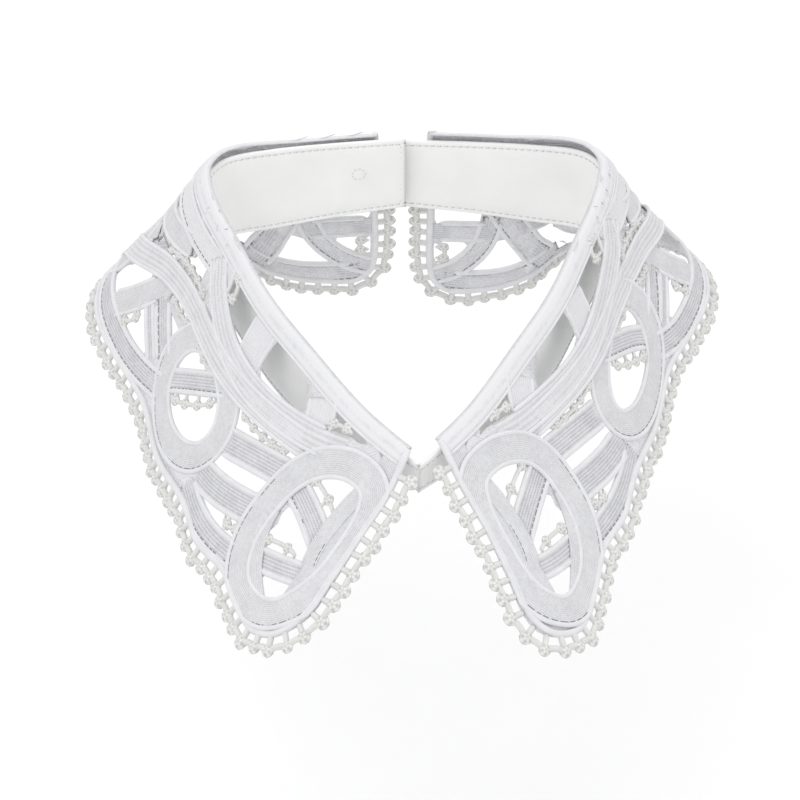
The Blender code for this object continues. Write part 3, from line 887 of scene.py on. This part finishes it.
class Loom:
    """Lays skins along lines, all into one mesh, each with its own thread layout."""

    LOBES = 5
    LOBE_DEPTH = 0.1
    TOUCHING = 1e-7
    SLIVER = 1e-14

    def __init__(self, name: str, *marks: str) -> None:
        """Start an empty mesh with the named marks on its vertices."""
        self.name = name
        self.bm = bmesh.new()
        self.uv = self.bm.loops.layers.uv.new("thread")
        self.marks = {mark: self.bm.verts.layers.float.new(mark) for mark in marks}

    def skin(self, points: Array, layout: Array, **marks: Array) -> None:
        """Lay one skin.

        Args:
            points: Places in millimetres, one row for each station and one column round it.
            layout: The thread layout of each place, with a last axis of 2.
            **marks: Values of the named marks, in the shape of the places.
        """
        rows, columns = points.shape[:2]
        made = bmesh.ops.create_grid(self.bm, x_segments=rows - 1, y_segments=columns - 1, size=1.0)
        verts = made["verts"]
        places = np.array([v.co[:2] for v in verts])
        spans = (places - places.min(axis=0)) / np.ptp(places, axis=0)
        index = np.rint(spans * (rows - 1, columns - 1)).astype(int)
        found = {}
        for vert, (i, j) in zip(verts, index):
            vert.co = points[i, j] * MM
            found[vert] = (i, j)
            for mark, values in marks.items():
                vert[self.marks[mark]] = values[i, j]
        for face in {f for v in verts for f in v.link_faces}:
            for loop in face.loops:
                loop[self.uv].uv = layout[found[loop.vert]]

    def tube(self, line: Array, normal: Array, radii: Array, sides: int = 6) -> None:
        """Lay a round tube along a line in space, closed where its radius is 0."""
        tangent = unit(np.gradient(line, axis=0))
        across = unit(np.cross(tangent, normal))
        up = unit(np.cross(across, tangent))
        angle = np.linspace(0, 2 * math.pi, sides + 1)
        cosine, sine = np.cos(angle)[:, None], np.sin(angle)[:, None]
        ring = cosine * across[:, None] + sine * up[:, None]
        points = line[:, None] + ring * radii[:, None, None]
        self.skin(points, thread_layout(lengths_along(line), angle / (2 * math.pi)))

    def knot(self, place: Array, normal: Array, radius: float, flat: float, turn: float) -> None:
        """Lay one flattened knot of five lobes, its axis along the normal."""
        made = bmesh.ops.create_uvsphere(
            self.bm, u_segments=2 * self.LOBES, v_segments=7, radius=1.0, calc_uvs=True)
        for vert in made["verts"]:
            angle = math.atan2(vert.co.y, vert.co.x)
            lobe = 1.0 + self.LOBE_DEPTH * math.cos(self.LOBES * angle)
            vert.co.x *= lobe
            vert.co.y *= lobe
            vert[self.marks["knot"]] = 1.0
        axis = Vector(normal).to_track_quat("Z", "Y").to_matrix().to_4x4()
        shape = Matrix.Translation(Vector(place) * MM) @ axis @ Matrix.Rotation(turn, 4, "Z")
        shape = shape @ Matrix.Diagonal((radius * MM, radius * MM, flat * MM, 1.0))
        bmesh.ops.transform(self.bm, matrix=shape, verts=made["verts"])

    def woven(self, finish: bpy.types.Material) -> bpy.types.Object:
        """Merge what meets, turn the faces outwards, and return the piece."""
        bmesh.ops.remove_doubles(self.bm, verts=self.bm.verts, dist=self.TOUCHING)
        thin = [f for f in self.bm.faces if f.calc_area() < self.SLIVER]
        bmesh.ops.delete(self.bm, geom=thin, context="FACES")
        bmesh.ops.recalc_face_normals(self.bm, faces=self.bm.faces)
        mesh = bpy.data.meshes.new(self.name)
        self.bm.to_mesh(mesh)
        self.bm.free()
        mesh.materials.append(finish)
        mesh.shade_smooth()
        return show(self.name, mesh)


def settle(obj: bpy.types.Object, slot: str, *nodes: str) -> bpy.types.Object:
    """Let a finished piece ride on the collar, and hide the nodes that it stands for."""
    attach(obj, "root")
    if nodes:
        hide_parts(*nodes)
    obj.data.calc_loop_triangles()
    LOG.info("%s: %d triangles", obj.name, len(obj.data.loop_triangles))
    return obj


@dataclass
class LaceHalf:
    """One half of the lace: ground, tape middles and wrapped cords."""

    half: HalfLie
    middle: float = 0.98
    cord_radius: float = 0.88
    thin_cord: float = 0.7
    cord_flat: float = 0.92
    cord_sides: int = 8
    cord_spacing: float = 1.25
    field_spacing: float = 1.5
    field_wall: float = 0.24
    ground_lift: float = 0.82
    ground_inset: float = 0.7
    ground_wall: float = 0.16
    tuck_hold: float = 4.4
    tuck_ease: float = 4.0
    slit_zone: tuple[float, float] = (0.45, 0.9)
    edge_margin: float = 0.9
    tip_share: float = 0.8
    cord_room: float = 1.4
    border_radius: float = 1.1
    heading_middle: float = 0.15
    heading_half: float = 2.7
    heading_cord: float = 0.5
    heading_ends: float = 0.6
    line_samples: int = 400
    neck_way: tuple[float, float] = (0.82, 0.57)
    neck_facing: float = -0.45

    def __post_init__(self) -> None:
        """Set out the fall and the outer edge."""
        self.fall = Fall(self.half)
        self.edge = self.outer_line()[::2]
        run = unit(np.gradient(self.edge, axis=0))
        self.inward = np.stack([run[:, 1], -run[:, 0]], -1)

    def lifts(self, tape: Tape | LoopTape, stations: int) -> Array:
        """Return how high the tape's middle lies, along its run."""
        length = lengths_along(tape.route())[-1]
        run = np.linspace(0, length, stations)
        start, middle, end = (lie.value for lie in tape.lies)
        hold, ease = min(self.tuck_hold, 0.3 * length), min(self.tuck_ease, 0.2 * length)
        lead = smoothstep(run, hold, hold + ease)
        tail = smoothstep(length - run, hold, hold + ease)
        return self.middle + start * (1 - lead) + middle * lead * tail + end * (1 - tail)

    def kept_in(self, flat: Array, margin: float) -> Array:
        """Move flat points that lie too near or beyond the outer cord to just inside it."""
        spots = flat.reshape(-1, 2)
        gaps = spots[:, None] - self.edge[None]
        near = np.argmin(np.sum(gaps * gaps, axis=-1), axis=1)
        depth = np.sum((spots - self.edge[near]) * self.inward[near], axis=-1)
        short = np.clip(margin - depth, 0, None)
        return (spots + self.inward[near] * short[:, None]).reshape(flat.shape)

    def cord(self, loom: Loom, flat: Array, lift: Array, aside: float, closed: bool,
             radius: float) -> None:
        """Lay one wrapped cord beside a line of the layout.

        Args:
            loom: The mesh that it goes into.
            flat: The line's flat points.
            lift: How high the cord's middle lies at each.
            aside: Millimetres to the right of the line.
            closed: Whether the line closes on itself.
            radius: The cord's radius.
        """
        line = self.fall.beside(flat, np.full((len(flat), 1), aside))[:, 0]
        line = self.kept_in(line, radius)
        angle = np.linspace(0, 2 * math.pi, self.cord_sides + 1)
        size = np.full(len(flat), radius)
        if not closed:
            size[[0, -1]] = 0.0
            size[[1, -2]] = self.tip_share * radius
        height = lift[:, None] + size[:, None] * np.sin(angle) * self.cord_flat
        points = self.fall.place(line, size[:, None] * np.cos(angle), height)
        if closed:
            points[-1] = points[0]
        loom.skin(points, thread_layout(self.fall.measured(line), angle / (2 * math.pi)))

    def field(self, loom: Loom, flat: Array, lift: Array, half_width: float, weave: Weave,
              slits: Slits, closed: bool, slits_below: float = 0.0) -> None:
        """Lay the woven middle of one tape.

        Args:
            loom: The mesh that it goes into.
            flat: The tape's middle line.
            lift: How high its middle lies at each point.
            half_width: Half the width of the woven middle.
            weave: How it is woven.
            slits: Which of its edges show slits.
            closed: Whether the line closes on itself.
            slits_below: How far down the fall the slits begin.
        """
        pitch, depth, open_work = weave.value
        ribs = max(2, round(2 * half_width / pitch))
        steps = 2 * ribs + 1
        top = np.linspace(-half_width, half_width, steps)
        crest = self.field_wall + depth * np.where(np.arange(steps) % 2, 1.0, -1.0)
        count = np.arange(steps) / 2
        in_from_edge = half_width - np.abs(top)
        # Slits lie in this band in from each edge; they are painted dark as shade, with no cut.
        slit = (in_from_edge > self.slit_zone[0]) & (in_from_edge < self.slit_zone[1])
        left, right = slits.value
        slit = slit * np.where(top < 0, left, right)
        across = np.concatenate([top, top[::-1], top[:1]])
        height = np.concatenate([crest, -crest[::-1], crest[:1]])
        rib = np.concatenate([count, count[::-1], count[:1]])
        mark = np.concatenate([slit, slit[::-1], slit[:1]])
        size = np.ones(len(flat)) if closed else drawn_to_ends(len(flat), 1.0)
        across = np.broadcast_to(across, (len(flat), len(across)))
        spots = self.kept_in(self.fall.beside(flat, across), self.edge_margin)
        points = self.fall.lift(spots, lift[:, None] + size[:, None] * height)
        if closed:
            points[-1] = points[0]
        slit = mark * (flat[:, None, 1] > slits_below)
        layout = thread_layout(self.fall.measured(flat), rib)
        loom.skin(points, layout, slit=slit, ladder=np.full(slit.shape, open_work))

    def outer_line(self) -> Array:
        """Return the flat line of the outer cord."""
        rows = np.array(OUTER_CORD)
        keys = lengths_along(rows)
        return smooth_curve(keys, rows, np.linspace(0, keys[-1], 900))

    def tapes(self) -> tuple[Loom, Loom]:
        """Build the woven middles and the cords of every tape, the edge and the heading."""
        # Its marks say where slit shade is painted and how much painted shade fills the gaps.
        fields = Loom(f"tape_middles_{self.half.name}", "slit", "ladder")
        cords = Loom(f"wrapped_cords_{self.half.name}")
        for tape in LOOPS + TAPES:
            closed = isinstance(tape, LoopTape)
            radius = self.cord_radius if tape.weave is Weave.LADDER else self.thin_cord
            if closed or tape.corded:
                flat = self.fall.respaced(tape.route(), self.cord_spacing)
                lift = self.lifts(tape, len(flat))
                if not closed:
                    first = tape.tuck * (tape.lies[0] is Lie.UNDER)
                    last = len(flat) - tape.tuck * (tape.lies[-1] is Lie.UNDER)
                    flat, lift = flat[first:last], lift[first:last]
                for side in (radius - tape.half_width, tape.half_width - radius):
                    self.cord(cords, flat, lift, side, closed, radius)
            flat = self.fall.respaced(tape.route(), self.field_spacing)
            width = tape.half_width - self.cord_room * radius * (closed or tape.corded)
            lift = self.lifts(tape, len(flat))
            self.field(
                fields, flat, lift, width, tape.weave, tape.slits, closed, tape.slits_below)
        self.edging(fields, cords)
        return fields, cords

    def edging(self, fields: Loom, cords: Loom) -> None:
        """Lay the smooth border cord along the outer edge, and the heading along the neck fold."""
        flat = self.fall.respaced(self.outer_line(), self.cord_spacing)
        lift = np.full(len(flat), self.middle)
        self.cord(cords, flat, lift, -self.border_radius, False, self.border_radius)
        front = OUTER_CORD[0][0] + self.heading_ends
        back = OUTER_CORD[-1][0] - self.heading_ends
        along = np.linspace(front, back, self.line_samples)
        line = np.stack([along, np.full_like(along, self.heading_middle)], -1)
        flat = self.fall.respaced(line, self.cord_spacing)
        lift = np.full(len(flat), self.middle)
        self.cord(cords, flat, lift, self.heading_half, False, self.heading_cord)
        flat = self.fall.respaced(line, self.field_spacing)
        lift = np.full(len(flat), self.middle)
        self.field(fields, flat, lift, self.heading_half, Weave.PLAIN, Slits.NONE, False)

    def ground(self, finish: bpy.types.Material) -> bpy.types.Object:
        """Build the thin ground of threads between the tapes, cut as the lace is."""
        node = bpy.data.objects[f"lace_{self.half.name}"]
        bm = bmesh.new()
        bm.from_mesh(node.data)
        bmesh.ops.remove_doubles(bm, verts=bm.verts, dist=1e-6)
        bm.normal_update()
        away = [f for f in bm.faces if not self.faces_neck(f)]
        bmesh.ops.delete(bm, geom=away, context="FACES")
        self.draw_in(bm)
        bm.normal_update()
        for vert in bm.verts:
            vert.co -= vert.normal * self.ground_lift * MM
        mesh = bpy.data.meshes.new(f"lace_ground_{self.half.name}")
        bm.to_mesh(mesh)
        bm.free()
        mesh.materials.clear()
        mesh.materials.append(finish)
        mesh.shade_smooth()
        obj = show(mesh.name, mesh)
        wall = obj.modifiers.new("wall", "SOLIDIFY")
        wall.thickness = self.ground_wall * MM
        wall.offset = 0.0
        return obj

    def draw_in(self, bm: bmesh.types.BMesh) -> None:
        """Draw every cut edge of the ground in, so that a cord covers it."""
        pulls = {}
        for edge in bm.edges:
            if not edge.is_boundary:
                continue
            run = (edge.verts[1].co - edge.verts[0].co).normalized()
            inward = edge.link_faces[0].calc_center_median() - edge.verts[0].co
            inward = (inward - run * inward.dot(run)).normalized()
            for vert in edge.verts:
                pulls.setdefault(vert, []).append(inward)
        for vert, inward in pulls.items():
            vert.co += sum(inward, Vector()).normalized() * self.ground_inset * MM

    def faces_neck(self, face: bmesh.types.BMFace) -> bool:
        """Say whether a face of the solid is on the side of the neck."""
        middle = face.calc_center_median()
        out = Vector((middle.x, middle.y, 0.0)).normalized()
        level, rise = self.neck_way
        away = (out * level + Vector((0.0, 0.0, rise))).normalized()
        return face.normal.dot(away) < self.neck_facing


@dataclass
class PicotWork:
    """The picots of one half: the outer edging, and the rows inside the openings."""

    lace: LaceHalf
    pitch: float = 5.1
    start: float = 3.0
    reach: float = 3.5
    root: float = 1.5
    knot_radius: float = 2.2
    knot_flat: float = 1.2
    leg_radius: float = 0.95
    link_radius: float = 1.0
    height: float = 1.05
    reach_spread: float = 0.4
    slide_spread: float = 0.45
    size_spread: tuple[float, float] = (0.84, 1.06)
    link_sag: float = 0.7
    strand_steps: int = 6
    seed: int = 7
    row_leg: float = 0.55
    row_link: float = 0.7
    row_flat: float = 0.95
    row_spacing: float = 0.7
    row_foot: float = 0.5
    row_arch: float = 0.35
    row_spread: tuple[float, float] = (0.92, 1.06)
    row_seed: int = 11

    def edging(self, finish: bpy.types.Material) -> bpy.types.Object:
        """Build the scalloped edging of knots, links and legs along the outer cord."""
        fall = self.lace.fall
        flat = self.lace.outer_line()
        line = fall.point(flat[:, 0], flat[:, 1])
        keys = lengths_along(line)
        count = round((keys[-1] - 2 * self.start) / self.pitch)
        at = np.linspace(self.start + ROLL, keys[-1] - self.start - ROLL, 4 * count + 1)
        line = read_columns(at, keys, line)
        u, v = read_columns(at, keys, flat).T
        normal = fall.normal(u, v)
        across = unit(np.cross(np.gradient(line, axis=0), normal))
        run = unit(np.stack([np.gradient(u), np.gradient(v)], -1))
        off = fall.point(u - run[:, 1], v + run[:, 0]) - line
        across *= np.sign(np.sum(across * off, axis=1, keepdims=True))
        loom = Loom(f"picots_{self.lace.half.name}", "knot")
        base = line + normal * self.height
        rng = np.random.default_rng(self.seed)
        knots = []
        for i in range(2, 4 * count, 4):
            reach = self.reach + rng.uniform(-self.reach_spread, self.reach_spread)
            slide = rng.uniform(-self.slide_spread, self.slide_spread)
            place = base[i] + across[i] * reach + unit(base[i + 1] - base[i]) * slide
            knots.append(place)
            size = self.knot_radius * rng.uniform(*self.size_spread)
            loom.knot(place, normal[i], size, self.knot_flat, rng.uniform(0, math.pi))
            foot = base[i] - across[i] * self.root
            self.strand(loom, foot, place, normal[i], self.leg_radius)
        for k, pair in enumerate(zip(knots, knots[1:])):
            i = 4 * k + 4
            self.strand(loom, *pair, normal[i], self.link_radius, -self.link_sag * across[i])
        return loom.woven(finish)

    def strand(self, loom: Loom, start: Array, end: Array, normal: Array, radius: float,
               sag: Array | float = 0.0) -> None:
        """Lay a short strand between two places."""
        t = np.linspace(0, 1, self.strand_steps)[:, None]
        line = start * (1 - t) + end * t + 4 * t * (1 - t) * sag
        size = drawn_to_ends(self.strand_steps, radius)
        loom.tube(line, np.broadcast_to(normal, line.shape), size)

    def rows(self, finish: bpy.types.Material) -> bpy.types.Object:
        """Build the rows of picots that stand in the openings."""
        loom = Loom(f"inner_picots_{self.lace.half.name}", "knot")
        rng = np.random.default_rng(self.row_seed)
        hosts = {tape.name: tape for tape in TAPES + (BACK_POST,)}
        for row in PICOT_ROWS:
            self.row(loom, row, hosts[row.host], rng)
        return loom.woven(finish)

    def row(self, loom: Loom, row: PicotRow, host: Tape, rng: np.random.Generator) -> None:
        """Build one row: a knotted thread that arches off its host's edge, and its legs."""
        fall = self.lace.fall
        route = host.route(200)
        first, last = (round(share * (len(route) - 1)) for share in row.span)
        flat = fall.respaced(route[first:last + 1], self.row_spacing)
        count = len(flat)
        rise = np.sin(np.linspace(0, math.pi, count)) ** self.row_arch
        foot = row.side * (host.half_width - self.row_foot)
        out = foot + row.side * (row.stand + self.row_foot) * rise
        level = np.full((count, 1), self.height)
        place = fall.place(flat, out[:, None], level)[:, 0]
        feet = fall.place(flat, np.full((count, 1), foot), level)[:, 0]
        normal = fall.normal(flat[:, 0], flat[:, 1])
        loom.tube(place, normal, drawn_to_ends(count, self.row_link))
        for k in range(row.knots):
            i = round((k + 0.5) / row.knots * (count - 1))
            radius = row.knot_radius * rng.uniform(*self.row_spread)
            loom.knot(place[i], normal[i], radius, self.row_flat, rng.uniform(0, math.pi))
            self.strand(loom, place[i], feet[i], normal[i], self.row_leg)


@dataclass
class NeckBand:
    """The folded cotton band that the lace is sewn to, lapped and stitched at the back."""

    wall: float = 1.3
    middle: float = -2.55
    under_fold: float = 0.9
    columns: int = 221
    side_dip: float = 9.5
    dip_start: tuple[float, float] = (12.0, 32.0)
    dip_end: tuple[float, float] = (112.0, 134.0)
    edge_round: float = 0.75
    round_steps: int = 4
    face_rows: int = 7
    seam_in: float = 1.7
    seam_half: float = 0.38
    seam_depth: float = 0.14
    ripples: tuple[tuple[float, float, float], ...] = ((0.12, 7.3, 0.0), (0.1, 3.1, 1.0))
    ends_in: float = 2.0
    stitch_pitch: float = 2.05
    stitch_span: tuple[float, float] = (0.3, 1.55)
    stitch_radius: float = 0.2
    stitch_sunk: float = 0.02
    end_row_in: tuple[float, float] = (2.5, 3.0)
    mark_stitches: int = 9
    mark_radius: float = 2.0
    mark_place: tuple[float, float] = (13.6, 14.2)
    mark_thread: float = 0.34
    mark_stand: float = 0.1

    def line(self, s: Array) -> tuple[Array, Array, Array, Array]:
        """Return the band's middle line, its outward direction and its two edge heights."""
        side = np.where(s >= 0, -1.0, 1.0)
        u = np.abs(s)
        past = u > NECK.length
        step = np.where(side < 0, Closure.step(u), 0.0)
        u = np.where(past, 2 * NECK.length - u, u)
        mirror = np.where(past, -side, side)
        outward = NECK.outward(u)
        near = np.abs(s) < 1e-6
        outward[near] = (0.0, -1.0, 0.0)
        point = NECK.read(u, NECK.points) + outward * (self.middle + step)[:, None]
        top = point[:, 2] - NECK.read(u, NECK.fold_drop) - self.under_fold
        top = top - Closure.BAND_DROP * step
        bottom = NECK.read(u, NECK.band_bottom) - Closure.BAND_DIP * step
        dip = smoothstep(u, *self.dip_start) * (1 - smoothstep(u, *self.dip_end))
        bottom = bottom - self.side_dip * dip
        point[:, 0] *= mirror
        outward[:, 0] *= mirror
        return point, outward, bottom, top

    def section(self, bottom: Array, top: Array) -> tuple[Array, Array, Array]:
        """Return the closed section: sideways places, heights and the seam mark of each."""
        half = self.wall / 2
        seam_low, seam_high = self.seam_in - self.seam_half, self.seam_in + self.seam_half
        edges = [self.edge_round, seam_low, self.seam_in, seam_high]
        low = bottom[:, None] + np.array(edges)
        high = top[:, None] - np.array(edges[::-1])
        share = np.linspace(0, 1, self.face_rows + 2)[1:-1]
        mid = low[:, -1:] + (high[:, :1] - low[:, -1:]) * share
        up = np.concatenate([low, mid, high], axis=1)
        seam = np.concatenate([[0, 0, 1, 0], np.zeros(self.face_rows), [0, 1, 0, 0]])
        side = half - self.seam_depth * seam
        angle = np.linspace(0, math.pi, self.round_steps + 2)[1:-1]
        cap_x = half * np.cos(angle)
        cap_z = self.edge_round * np.sin(angle)
        over = top[:, None] - self.edge_round + cap_z
        under = bottom[:, None] + self.edge_round - cap_z
        heights = np.concatenate([up, over, up[:, ::-1], under, up[:, :1]], axis=1)
        places = np.concatenate([side, cap_x, -side[::-1], -cap_x, side[:1]])
        blank = np.zeros(len(angle))
        marks = np.concatenate([seam, blank, seam[::-1], blank, seam[:1]])
        shape = heights.shape
        return np.broadcast_to(places, shape), heights, np.broadcast_to(marks, shape)

    @staticmethod
    def ends() -> tuple[float, float]:
        """Return where the band's two ends are."""
        return -(NECK.length + Closure.END_LAP), NECK.length + Closure.TAIL

    def cloth(self, finish: bpy.types.Material) -> bpy.types.Object:
        """Build the band's cloth."""
        s = np.linspace(*self.ends(), self.columns)
        point, outward, bottom, top = self.line(s)
        places, heights, marks = self.section(bottom, top)
        size = drawn_to_ends(len(s), 1.0)
        ripple = sum(high * np.sin(s / length + phase) for high, length, phase in self.ripples)
        share = np.clip((heights - bottom[:, None]) / (top - bottom)[:, None], 0, 1)
        offset = places * size[:, None] + ripple[:, None] * np.sin(math.pi * share)
        points = point[:, None] * (1.0, 1.0, 0.0) + outward[:, None] * offset[..., None]
        points[..., 2] = heights
        loom = Loom("band_cloth", "seam")
        loom.skin(points, thread_layout(s, heights), seam=marks)
        return loom.woven(finish)

    def stitching(self, finish: bpy.types.Material) -> bpy.types.Object:
        """Build the sewing stitches along both edges, up the free end and round the stud."""
        loom = Loom("band_stitches")
        start, end = self.ends()
        start, end = start + self.ends_in, end - self.ends_in
        for side in (-1, 1):
            for upper in (False, True):
                for s in np.arange(start, end, self.stitch_pitch):
                    point, outward, bottom, top = self.line(s + np.linspace(*self.stitch_span, 4))
                    point = point + outward * side * (self.wall / 2 - self.stitch_sunk)
                    height = top - self.seam_in if upper else bottom + self.seam_in
                    self.stitch(loom, point, outward * side, height, self.stitch_radius)
        self.end_row(loom, start)
        self.stud_mark(loom)
        return loom.woven(finish)

    def stitch(self, loom: Loom, line: Array, outward: Array, height: Array,
               radius: float) -> None:
        """Lay one stitch of thread along a line, at its own height."""
        line = line.copy()
        line[:, 2] = height
        loom.tube(line, outward, drawn_to_ends(len(line), radius), 5)

    def end_row(self, loom: Loom, s: float) -> None:
        """Stitch up the free end that shows inside the neck."""
        point, outward, bottom, top = self.line(np.full(4, s))
        face = point - outward * (self.wall / 2 - self.stitch_sunk)
        low, high = self.end_row_in
        first, last = self.stitch_span
        for z in np.arange(bottom[0] + low, top[0] - high, self.stitch_pitch):
            height = z + np.linspace(0, last - first, 4)
            self.stitch(loom, face, outward, height, self.stitch_radius)

    def stud_mark(self, loom: Loom) -> None:
        """Stitch the small round mark where the stud is sewn through."""
        back, height = self.mark_place
        for k in range(self.mark_stitches):
            angle = (k + np.linspace(0.1, 0.8, 4)) / self.mark_stitches * 2 * math.pi
            middle = back - NECK.length
            point, outward, _, _ = self.line(middle + self.mark_radius * np.cos(angle))
            point = point - outward * (self.wall / 2 + self.mark_stand)
            height_here = height + self.mark_radius * np.sin(angle)
            self.stitch(loom, point, outward, height_here, self.mark_thread)


@dataclass(frozen=True)
class Lamp:
    """One soft square light, facing the collar."""

    name: str
    place: tuple[float, float, float]
    size: float
    power: float


LAMPS = (
    Lamp("key", (-0.5, -0.5, 1.1), 1.1, 6.2),
    Lamp("fill", (0.9, -0.5, 0.7), 1.0, 2.4),
    Lamp("rim", (0.1, 0.9, 0.8), 0.8, 2.2),
)


@dataclass
class Studio:
    """A plain pale floor, soft light and the camera."""

    target: tuple[float, float, float] = (-0.004, -0.023, 0.0)
    azimuth: float = -2.0
    elevation: float = 42.0
    distance: float = 1.2
    lens: float = 189.0
    floor_gap: float = 0.13
    floor_size: float = 3.0
    sky: float = 0.86

    def build(self) -> None:
        """Build the floor, the lights and the camera."""
        self.floor()
        for lamp in LAMPS:
            self.light(lamp)
        world = bpy.data.worlds.new("studio")
        bpy.context.scene.world = world
        world.use_nodes = True
        sky = world.node_tree.nodes["Background"].inputs
        sky["Color"].default_value = (1.0, 1.0, 1.0, 1.0)
        sky["Strength"].default_value = self.sky
        bpy.context.scene.view_settings.view_transform = "Standard"
        self.camera()

    def floor(self) -> None:
        """Lay the floor."""
        low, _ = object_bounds()
        bm = bmesh.new()
        bmesh.ops.create_grid(bm, x_segments=1, y_segments=1, size=self.floor_size)
        bmesh.ops.translate(bm, verts=bm.verts, vec=(0.0, 0.0, low.z - self.floor_gap))
        mesh = bpy.data.meshes.new("floor")
        bm.to_mesh(mesh)
        bm.free()
        bench = Bench("pale_floor")
        cloud = bench.cloud(2.0)
        colour = bench.blend(cloud, (0.88, 0.88, 0.88, 1.0), (0.9, 0.9, 0.9, 1.0))
        mesh.materials.append(bench.finish(colour, cloud, 0.0001, 0.9, 0.0))
        show("floor", mesh)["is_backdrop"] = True

    def light(self, lamp: Lamp) -> None:
        """Hang one light, facing the collar."""
        data = bpy.data.lights.new(lamp.name, "AREA")
        data.size = lamp.size
        data.energy = lamp.power
        obj = show(lamp.name, data)
        obj.location = lamp.place
        obj.rotation_euler = (-Vector(lamp.place)).to_track_quat("-Z", "Y").to_euler()

    def camera(self) -> None:
        """Set the camera at the photograph's angle."""
        turn, rise = math.radians(self.azimuth), math.radians(self.elevation)
        level = math.cos(rise)
        back = Vector((math.sin(turn) * level, -math.cos(turn) * level, math.sin(rise)))
        data = bpy.data.cameras.new("view")
        data.lens = self.lens
        data.sensor_width = 36.0
        camera = show("view", data)
        camera.location = Vector(self.target) + back * self.distance
        camera.rotation_euler = (-back).to_track_quat("-Z", "Y").to_euler()
        bpy.context.scene.camera = camera


class Collar:
    """The whole collar, piece by piece."""

    def __init__(self) -> None:
        """Mix the finishes."""
        self.tape = TapeFinish().dress()
        self.cord = CordFinish().dress()
        self.picot = PicotFinish().dress()
        self.cotton = CottonFinish().dress()
        self.net = NetFinish().dress()
        self.resin = ResinFinish().dress()

    def build(self) -> None:
        """Build every piece in order."""
        self.band()
        for half in HALVES:
            self.lace(half)

    def band(self) -> None:
        """Build the neck band, its stitching and the stud's finish."""
        band = NeckBand()
        cloth = settle(band.cloth(self.cotton), "band_cotton", "neck_band")
        stitches = settle(band.stitching(self.cord), "band_cotton")
        stud = bpy.data.objects["press_stud"]
        stud.data.materials.clear()
        stud.data.materials.append(self.resin)

    def lace(self, half: HalfLie) -> None:
        """Build one half of the lace."""
        lace = LaceHalf(half)
        ground = settle(lace.ground(self.net), "lace_cotton", f"lace_{half.name}")
        fields, cords = lace.tapes()
        middles = settle(fields.woven(self.tape), "lace_cotton")
        wrapped = settle(cords.woven(self.cord), "lace_cotton")
        picots = PicotWork(lace)
        edging = settle(picots.edging(self.picot), "picot_cotton", f"picot_edging_{half.name}")
        inner = settle(picots.rows(self.picot), "picot_cotton")


def main() -> None:
    """Dress the collar and set the studio."""
    logging.basicConfig(level=logging.INFO, format="%(message)s")
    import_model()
    Collar().build()
    Studio().build()


if __name__ == "__main__":
    main()
